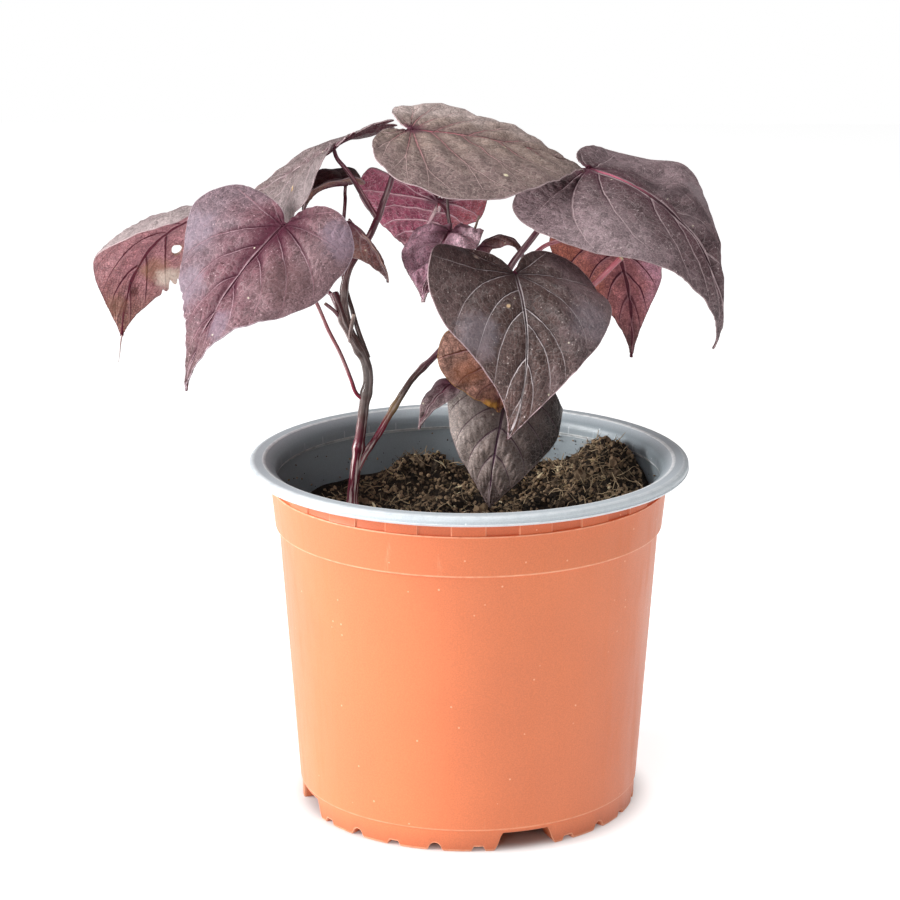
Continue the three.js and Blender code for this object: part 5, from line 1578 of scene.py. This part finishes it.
def add_joint_and_margin(nodes, given, at, tint):
    """The stained joint, pale flecks and the pale lip along the margin."""
    near = nodes.math("ADD", nodes.attribute("from_joint"), nodes.times(at.drift, 6.0))
    near = nodes.math("DIVIDE", near, given["Joint reach"])
    tint = nodes.mix(nodes.fade(near, 1.0, 0.15, 0.0, 0.85), tint, given["Joint"])
    fleck_pick = nodes.cell_chance(at.flat, FLECK_SPACING, 1)
    fleck = nodes.times(nodes.fade(nodes.cells(at.flat, FLECK_SPACING), 0.075, 0.035),
                        nodes.fade(fleck_pick, 0.7, 0.75), given["Fleck strength"])
    tint = nodes.mix(fleck, tint, given["Fleck"])
    to_edge = nodes.times(nodes.math("SUBTRACT", 1.0, at.reach), at.row)
    lip = nodes.times(nodes.fade(to_edge, 0.45, 0.12), nodes.fade(at.patches, 0.3, 0.55, 0.35, 1.0))
    return nodes.mix(lip, tint, given["Margin"])


def leaf_pattern():
    """The node group that draws a leaf's skin: tints, netted cells, rungs, side veins and midrib."""
    group = bpy.data.node_groups.new("leaf_pattern", "ShaderNodeTree")
    for name in LEAF_COLOURS:
        group.interface.new_socket(name, in_out="INPUT", socket_type="NodeSocketColor")
    for name in LEAF_AMOUNTS:
        group.interface.new_socket(name, in_out="INPUT", socket_type="NodeSocketFloat")
    for name, kind in (("Colour", "Color"), ("Gloss", "Float"), ("Relief", "Float")):
        group.interface.new_socket(name, in_out="OUTPUT", socket_type="NodeSocket" + kind)
    nodes = Nodes(group)
    given = nodes.add("NodeGroupInput").outputs
    at = blade_places(nodes)
    tint = mottled_skin(nodes, given, at)
    tint, edge = add_net(nodes, given, at, tint)
    tint, rungs = add_rungs(nodes, given, at, tint)
    tint, side_vein = add_side_veins(nodes, given, at, tint)
    tint, rib = add_midrib(nodes, given, at, tint)
    tint = add_joint_and_margin(nodes, given, at, tint)
    gloss = nodes.math("ADD", given["Roughness"], nodes.fade(at.grain, 0.25, 0.75, -0.06, 0.08))
    gloss = nodes.math("ADD", gloss, nodes.times(side_vein, 0.1))
    relief = nodes.times(nodes.fade(edge, 0.0, 0.35), 0.18)
    relief = nodes.math("ADD", relief, nodes.times(at.grain, 0.12))
    relief = nodes.math("ADD", relief, nodes.times(at.patches, 0.8))
    for mask, depth in ((rungs, 0.4), (side_vein, 0.8), (rib, 0.8)):
        relief = nodes.math("SUBTRACT", relief, nodes.times(mask, depth))
    nodes.add("NodeGroupOutput", {"Colour": tint, "Gloss": gloss, "Relief": relief})
    return group


PLAIN_LOOK = {
    "Left": (124, 106, 108), "Middle": (106, 90, 90), "Right": (118, 102, 106), "Joint": (92, 48, 64),
    "Tip": (94, 76, 74), "Margin": (176, 154, 156), "Midrib": (128, 70, 88), "Side vein": (120, 84, 92),
    "Vein end": (186, 160, 162), "Vein light": (206, 184, 186), "Fine vein": (172, 152, 152),
    "Fleck": (226, 216, 194), "Joint reach": 7.0, "Stain": 0.25, "Midrib width": 0.5, "Vein width": 0.24,
    "Vein strength": 0.85, "Light strength": 0.45, "Fork": 0.0, "Rung strength": 0.5,
    "Net strength": 0.5, "Mottle": 0.3, "Grain": 1.3, "Fleck strength": 0.8, "Roughness": 0.46,
    "Specular": 0.15,
}
GREY_BACK = PLAIN_LOOK | {
    "Left": (140, 100, 108), "Middle": (128, 88, 96), "Right": (138, 98, 106), "Side vein": (90, 38, 54),
    "Vein end": (96, 44, 58), "Vein light": (190, 140, 148), "Fine vein": (104, 56, 70),
    "Midrib": (98, 40, 56), "Margin": (120, 80, 86), "Roughness": 0.6,
    "Vein width": 0.32, "Vein strength": 1.0,
}

# The upper and lower skins of each leaf, and its finish.
LEAF_LOOKS = {
    # Its vein light colour is dark: a painted shadow along one flank of each vein.
    "leaf_top": ("leaf_grey", PLAIN_LOOK | {
        "Left": (182, 165, 161), "Middle": (142, 122, 114), "Right": (130, 109, 107),
        "Side vein": (194, 138, 140), "Vein end": (220, 190, 186), "Vein light": (92, 66, 66),
        "Fine vein": (184, 166, 158), "Midrib": (190, 112, 124), "Tip": (122, 106, 103), "Fork": 0.3,
        "Light strength": 0.35, "Mottle": 0.2, "Vein width": 0.28}, GREY_BACK),
    "leaf_upper_left": ("leaf_grey", PLAIN_LOOK | {
        "Left": (122, 110, 110), "Middle": (112, 98, 97), "Right": (104, 89, 90),
        "Side vein": (146, 120, 124), "Vein end": (184, 166, 166), "Fine vein": (164, 148, 150),
        "Midrib": (138, 104, 112)},
        GREY_BACK | {"Left": (96, 60, 66), "Middle": (88, 50, 58), "Right": (96, 60, 66),
                     "Side vein": (150, 116, 116)}),
    "leaf_right": ("leaf_mauve", PLAIN_LOOK | {
        "Left": (132, 112, 116), "Middle": (92, 72, 75), "Right": (138, 119, 123),
        "Side vein": (66, 40, 48), "Vein end": (184, 160, 163), "Fine vein": (190, 172, 173),
        "Midrib": (214, 120, 142), "Tip": (112, 98, 100), "Stain": 0.35, "Grain": 1.4,
        "Net strength": 0.28, "Midrib width": 0.75, "Light strength": 0.6}, GREY_BACK),
    "leaf_left": ("leaf_mauve", PLAIN_LOOK | {
        "Left": (122, 96, 100), "Middle": (106, 72, 79), "Right": (112, 94, 101),
        "Joint": (70, 26, 42), "Side vein": (66, 22, 38), "Vein end": (178, 132, 142),
        "Vein light": (210, 176, 184), "Fine vein": (184, 154, 160), "Midrib": (66, 14, 32),
        "Margin": (172, 154, 162), "Joint reach": 15.0, "Stain": 0.85, "Midrib width": 0.62,
        "Net strength": 0.28},
        GREY_BACK),
    "leaf_front": ("leaf_dark", PLAIN_LOOK | {
        "Left": (106, 89, 91), "Middle": (76, 57, 54), "Right": (96, 77, 76), "Joint": (66, 47, 47),
        "Side vein": (48, 30, 34), "Vein end": (164, 144, 146), "Vein light": (236, 224, 226),
        "Fine vein": (176, 160, 156), "Midrib": (84, 58, 64), "Margin": (186, 160, 164),
        "Tip": (80, 52, 47), "Vein width": 0.17, "Light strength": 0.75, "Midrib width": 0.3,
        "Net strength": 0.2, "Rung strength": 0.35, "Mottle": 0.25, "Grain": 1.6,
        "Roughness": 0.34, "Specular": 0.3}, GREY_BACK),
    # One half is dark and the other pale: painted shade on the half turned from the light, painted light on
    # the other.
    "leaf_low": ("leaf_dark", PLAIN_LOOK | {
        "Left": (66, 54, 51), "Middle": (160, 142, 136), "Right": (206, 190, 183),
        "Midrib": (112, 62, 104), "Side vein": (96, 58, 84), "Vein end": (120, 88, 100),
        "Fine vein": (190, 176, 172), "Stain": 0.1, "Joint": (78, 60, 56), "Joint reach": 26.0,
        "Roughness": 0.36, "Specular": 0.3}, GREY_BACK),
    "leaf_young_front": ("leaf_dark", PLAIN_LOOK | {
        "Left": (230, 198, 208), "Middle": (184, 142, 158), "Right": (164, 124, 138), "Tip": (140, 94, 108),
        "Side vein": (206, 166, 182), "Vein end": (214, 180, 192), "Fine vein": (206, 172, 186),
        "Net strength": 0.6, "Grain": 1.6, "Mottle": 0.6}, GREY_BACK),
    "leaf_low_small": ("leaf_dark", PLAIN_LOOK, GREY_BACK),
    "leaf_far_left": ("leaf_pink", PLAIN_LOOK | {
        "Left": (150, 136, 136), "Middle": (136, 118, 120), "Right": (140, 124, 126)},
        GREY_BACK | {"Left": (184, 142, 146), "Middle": (172, 124, 130), "Right": (172, 130, 130),
                     "Tip": (150, 116, 104), "Side vein": (92, 34, 50), "Fine vein": (118, 62, 74)}),
    "leaf_behind_right": ("leaf_pink", PLAIN_LOOK, GREY_BACK | {
        "Left": (192, 118, 102), "Middle": (176, 114, 117), "Right": (194, 144, 160),
        "Side vein": (84, 36, 48), "Fine vein": (112, 58, 68)}),
    "leaf_young_back": ("leaf_pink", PLAIN_LOOK | {
        "Left": (150, 96, 112), "Middle": (146, 92, 106), "Right": (150, 96, 112)},
        GREY_BACK | {"Left": (154, 78, 100), "Middle": (146, 72, 94), "Right": (168, 88, 98),
                     "Side vein": (228, 182, 194), "Vein end": (224, 176, 190),
                     "Fine vein": (218, 166, 180), "Stain": 0.0,
                     "Midrib": (228, 196, 198), "Rung strength": 0.7, "Vein width": 0.4}),
    # On its lower skin the pale Left and Right are partly the leaf's own colour and partly a painted sheen.
    "leaf_bronze": ("leaf_bronze", PLAIN_LOOK | {"Middle": (110, 78, 62)}, GREY_BACK | {
        "Left": (182, 138, 124), "Middle": (146, 102, 90), "Right": (206, 166, 156), "Tip": (180, 120, 92),
        "Mottle": 0.9,
        "Margin": (214, 160, 96), "Side vein": (104, 60, 50), "Vein end": (120, 74, 62),
        "Fine vein": (120, 80, 66)}),
    "leaf_behind_upper": ("leaf_bronze", PLAIN_LOOK | {"Middle": (118, 88, 76)}, GREY_BACK | {
        "Middle": (138, 94, 76), "Left": (138, 96, 84), "Right": (150, 100, 72)}),
    "leaf_crumpled": ("leaf_bronze", PLAIN_LOOK | {
        "Left": (146, 106, 98), "Middle": (128, 86, 82), "Right": (140, 100, 92),
        "Side vein": (200, 166, 156)}, GREY_BACK),
    "leaf_curled": ("leaf_bronze", PLAIN_LOOK | {
        "Left": (132, 106, 88), "Middle": (122, 94, 82), "Right": (140, 98, 98)}, GREY_BACK),
}

# Marks on a blade: where along and across it, how far they reach, their colour and strength. Some are
# painted sheen and some painted shade, as said at each leaf.
LEAF_MARKS = {
    # The first three marks are painted sheen; the pale flaw and the ring round the hole are the leaf's own.
    "leaf_front": [(22, -14, 9, (150, 142, 152), 0.35), (28, -12, 4, (170, 150, 156), 0.25),
                   (16, 19, 9, (134, 126, 136), 0.3),
                   (-4.5, -11.2, 1.4, (236, 216, 200), 0.9),
                   (12.8, -4.8, 0.75, (214, 182, 140), 0.9)],
    # The four lilac marks are painted sheen.
    "leaf_left": [(30, -16, 9, (152, 138, 152), 0.4), (14, -27, 9, (150, 137, 151), 0.4),
                  (-6, 21, 9, (146, 131, 149), 0.45), (34, 7, 6, (138, 127, 146), 0.35),
                  (14, 17, 10, (84, 56, 56), 0.5)],
    "leaf_top": [(25.8, -5.7, 0.8, (244, 232, 200), 1.0), (23.2, -25, 0.8, (244, 232, 200), 1.0)],
    "leaf_upper_left": [(11.3, 13.4, 1.2, (214, 168, 88), 1.0), (12.4, 12.2, 0.7, (240, 226, 190), 1.0)],
    "leaf_far_left": [(44.7, -1.9, 2.4, (84, 44, 44), 0.7), (35, -6, 7, (158, 118, 92), 0.6),
                      (37, -11.5, 6, (216, 200, 188), 0.95), (24.9, -8.6, 2.8, (180, 148, 118), 0.8),
                      (50, 3, 5, (150, 112, 92), 0.5)],
    "leaf_bronze": [(24, 2.8, 3.5, (222, 158, 76), 0.9), (10, 10, 6, (170, 104, 70), 0.5)],
    # The four dark marks are a painted shadow along the fold between the crest and the midrib.
    "leaf_right": [(14, 15, 5, (62, 48, 52), 0.5), (24, 15.5, 6, (62, 48, 52), 0.5),
                   (34, 13, 6, (62, 48, 52), 0.5), (44, 9.5, 5, (62, 48, 52), 0.45),
                   (28, 26, 8, (156, 142, 146), 0.4)],
}


def marked(nodes, tint, marks):
    """A blade's colour with its painted sheen, painted shade, stains and damage laid over it."""
    flat = flat_place(nodes)
    ragged = nodes.math("SUBTRACT", nodes.noise(flat, 0.004, detail=5, roughness=0.7), 0.5)
    for along, across, reach, colour, strength in marks:
        middle = ((along + FLAT_SHIFT[0] * FLAT_SPAN) * MM, (across + FLAT_SHIFT[1] * FLAT_SPAN) * MM, 0)
        distance = nodes.node("VectorMath", {0: flat, 1: middle}, operation="DISTANCE").outputs["Value"]
        distance = nodes.math("MULTIPLY_ADD", ragged, reach * MM * 1.2, distance)
        mask = nodes.fade(distance, reach * MM, 0.35 * reach * MM, 0.0, strength)
        tint = nodes.mix(mask, tint, paint(*colour))
    return tint


def foliage(name, group, look, lower, marks):
    """The finish of one side of one leaf."""
    material, nodes, shader = new_material(name)
    values = {socket: paint(*look[socket]) for socket in LEAF_COLOURS}
    values |= {socket: look[socket] for socket in LEAF_AMOUNTS}
    drawn = nodes.node("Group", values, node_tree=group).outputs
    nodes.fill(shader, {
        "Base Color": marked(nodes, drawn["Colour"], marks), "Roughness": drawn["Gloss"],
        "Normal": nodes.bump(drawn["Relief"], 0.0006, 1.0, invert=lower),
        "Specular IOR Level": look["Specular"]})
    return material


# ---- the stage ----

VIEW_DISTANCE = 0.865
VIEW_HEIGHT = 0.339
VIEW_PITCH = 15.04
VIEW_TURN = 0.366
LENS, SENSOR_WIDTH = 121.3, 36
CLIP_START = 0.05
WHITE = (1, 1, 1, 1)
ROOM_GLOW = 0.16
LAMP_TARGET_HEIGHT = 0.12
FLOOR_REACH = 1.3

# Lamps: where each stands, its width and its power in watts.
LAMPS = {
    "top_lamp": ((0.1, -0.25, 1.3), 0.9, 10),
    "left_lamp": ((-1.25, -0.25, 0.5), 0.7, 27),
    "front_lamp": ((-0.35, -1.4, 0.6), 0.4, 3),
}


def make_camera():
    """The camera in front of the plant, looking a little down."""
    camera = make_object("camera", bpy.data.cameras.new("camera"))
    camera.data.lens = LENS
    camera.data.sensor_width = SENSOR_WIDTH
    camera.data.clip_start = CLIP_START
    camera.location = (POT_AXIS.x, POT_AXIS.y - VIEW_DISTANCE, VIEW_HEIGHT)
    camera.rotation_euler = (math.radians(90 - VIEW_PITCH), 0, math.radians(VIEW_TURN))
    bpy.context.scene.camera = camera


def make_lamp(name, place, target, size, power):
    """A square lamp that faces its target."""
    lamp = make_object(name, bpy.data.lights.new(name, "AREA"))
    lamp.data.size = size
    lamp.data.energy = power
    lamp.location = place
    lamp.rotation_euler = (Vector(target) - Vector(place)).to_track_quat("-Z", "Y").to_euler()


def make_floor():
    """A white floor that glows, its glow fading out under and just round the pot's foot as a painted shadow.
    """
    corners = FLOOR_REACH * np.array([(-1, -1, 0), (1, -1, 0), (1, 1, 0), (-1, 1, 0)])
    floor = make_object("floor", make_mesh("floor", corners, [(0, 1, 2, 3)]))
    material, nodes, shader = new_material("white_floor")
    here = nodes.place(about=(-POT_AXIS.x, -POT_AXIS.y, 0))
    # the glow fades out near the pot: a painted contact shadow
    from_pot = nodes.node("VectorMath", {0: here}, operation="LENGTH").outputs["Value"]
    nodes.fill(shader, {"Base Color": (0.6, 0.6, 0.6, 1), "Roughness": 0.8, "Emission Color": WHITE,
                        "Emission Strength": nodes.fade(from_pot, 0.044, 0.058, 0.0, 0.75)})
    floor.data.materials.append(material)


def light_room():
    """White all round as far as the eye sees, a softer glow from it, and three lamps."""
    scene = bpy.context.scene
    scene.view_settings.view_transform = "Standard"
    world = bpy.data.worlds.new("white_room")
    scene.world = world
    world.use_nodes = True
    nodes = Nodes(world.node_tree)
    glow = nodes.node("Background", {"Color": WHITE, "Strength": ROOM_GLOW}).outputs[0]
    seen = nodes.node("Background", {"Color": WHITE}).outputs[0]
    by_eye = nodes.node("LightPath").outputs["Is Camera Ray"]
    mixed = nodes.node("MixShader", {0: by_eye, 1: glow, 2: seen}).outputs[0]
    nodes.fill(world.node_tree.nodes["World Output"], {"Surface": mixed})
    target = (POT_AXIS.x, POT_AXIS.y, LAMP_TARGET_HEIGHT)
    for name, (place, size, power) in LAMPS.items():
        make_lamp(name, place, target, size, power)
    make_floor()


# ---- the whole plant ----


def build_pot():
    """The pot in its two plastics."""
    # The third colour is the painted shade; the fourth is the pale of specks, scuffs and the painted edge
    # highlight.
    orange = plastic("orange_plastic", paint(224, 124, 77), paint(216, 118, 74), paint(190, 98, 62),
                     paint(252, 200, 164), 0.42, 0.6)
    grey = plastic("grey_plastic", paint(196, 204, 210), paint(186, 195, 201), paint(152, 163, 169),
                   paint(244, 247, 248), 0.38, 1.0)
    finish_piece(make_pot([orange, grey]), "pot", "pot")


def build_soil():
    """The soil, and the litter strewn over it and up the wall."""
    bed = make_soil(compost("peat_compost", paint(24, 20, 17), paint(50, 39, 30), paint(130, 110, 80)))
    finish_piece(bed, "soil", "soil")
    dark_crumb = litter_finish("peat_crumb", paint(24, 20, 18), paint(168, 142, 114))
    fibre = litter_finish("peat_fibre", paint(40, 31, 27), paint(196, 172, 140))
    straw = litter_finish("chopped_straw", paint(150, 124, 84), paint(244, 228, 190))
    crumbs = shape_set("crumb_shapes", [lump(1, 0.35, seed) for seed in range(4)])
    clods = shape_set("clod_shapes", [lump(2, 0.5, seed) for seed in range(10, 14)])
    fibres = shape_set("fibre_shapes", [thread(route, 0.12, 0.1) for route in FIBRE_ROUTES])
    straws = shape_set("straw_shapes", [thread(route, 0.42, 0.1) for route in STRAW_ROUTES])
    ground = make_ground("ground", 54.2, 0.3)
    inner_ground = make_ground("inner_ground", 50.5, 1.0)
    wall = make_wall_band("pot_wall")
    for name, surface, shapes, material, density, sizes, lean, seed in (
            ("soil_crumbs", ground, crumbs, dark_crumb, 0.7, (0.2, 0.82), math.pi, 3),
            ("soil_clods", inner_ground, clods, dark_crumb, 0.008, (0.9, 2.3), math.pi, 5),
            ("soil_fibres", inner_ground, fibres, fibre, 0.15, (0.35, 1.3), 1.1, 7),
            ("soil_straw", inner_ground, straws, straw, 0.05, (0.3, 0.9), 0.7, 11),
            ("wall_dirt", wall, crumbs, dark_crumb, 0.032, (0.12, 0.4), math.pi, 13)):
        finish_piece(strewn(name, surface, shapes, material, density, sizes, lean, seed), "soil")
    for helper in (ground, inner_ground, wall):
        bpy.data.objects.remove(helper)
    for shapes in (crumbs, clods, fibres, straws):
        for shape in list(shapes.objects):
            bpy.data.objects.remove(shape)
        bpy.data.collections.remove(shapes)


def build_leaves():
    """Every leaf with the skins of its two sides."""
    group = leaf_pattern()
    for name, (slot, upper, lower) in LEAF_LOOKS.items():
        marks = LEAF_MARKS.get(name, ())
        materials = [foliage(name + "_upper_skin", group, upper, False, marks),
                     foliage(name + "_lower_skin", group, lower, True, marks)]
        finish_piece(make_leaf(name, materials), slot, name)


build_pot()
build_soil()
finish_piece(make_stems(stem_skin("stem_skin")), "stem", "stems")
build_leaves()
make_camera()
light_room()
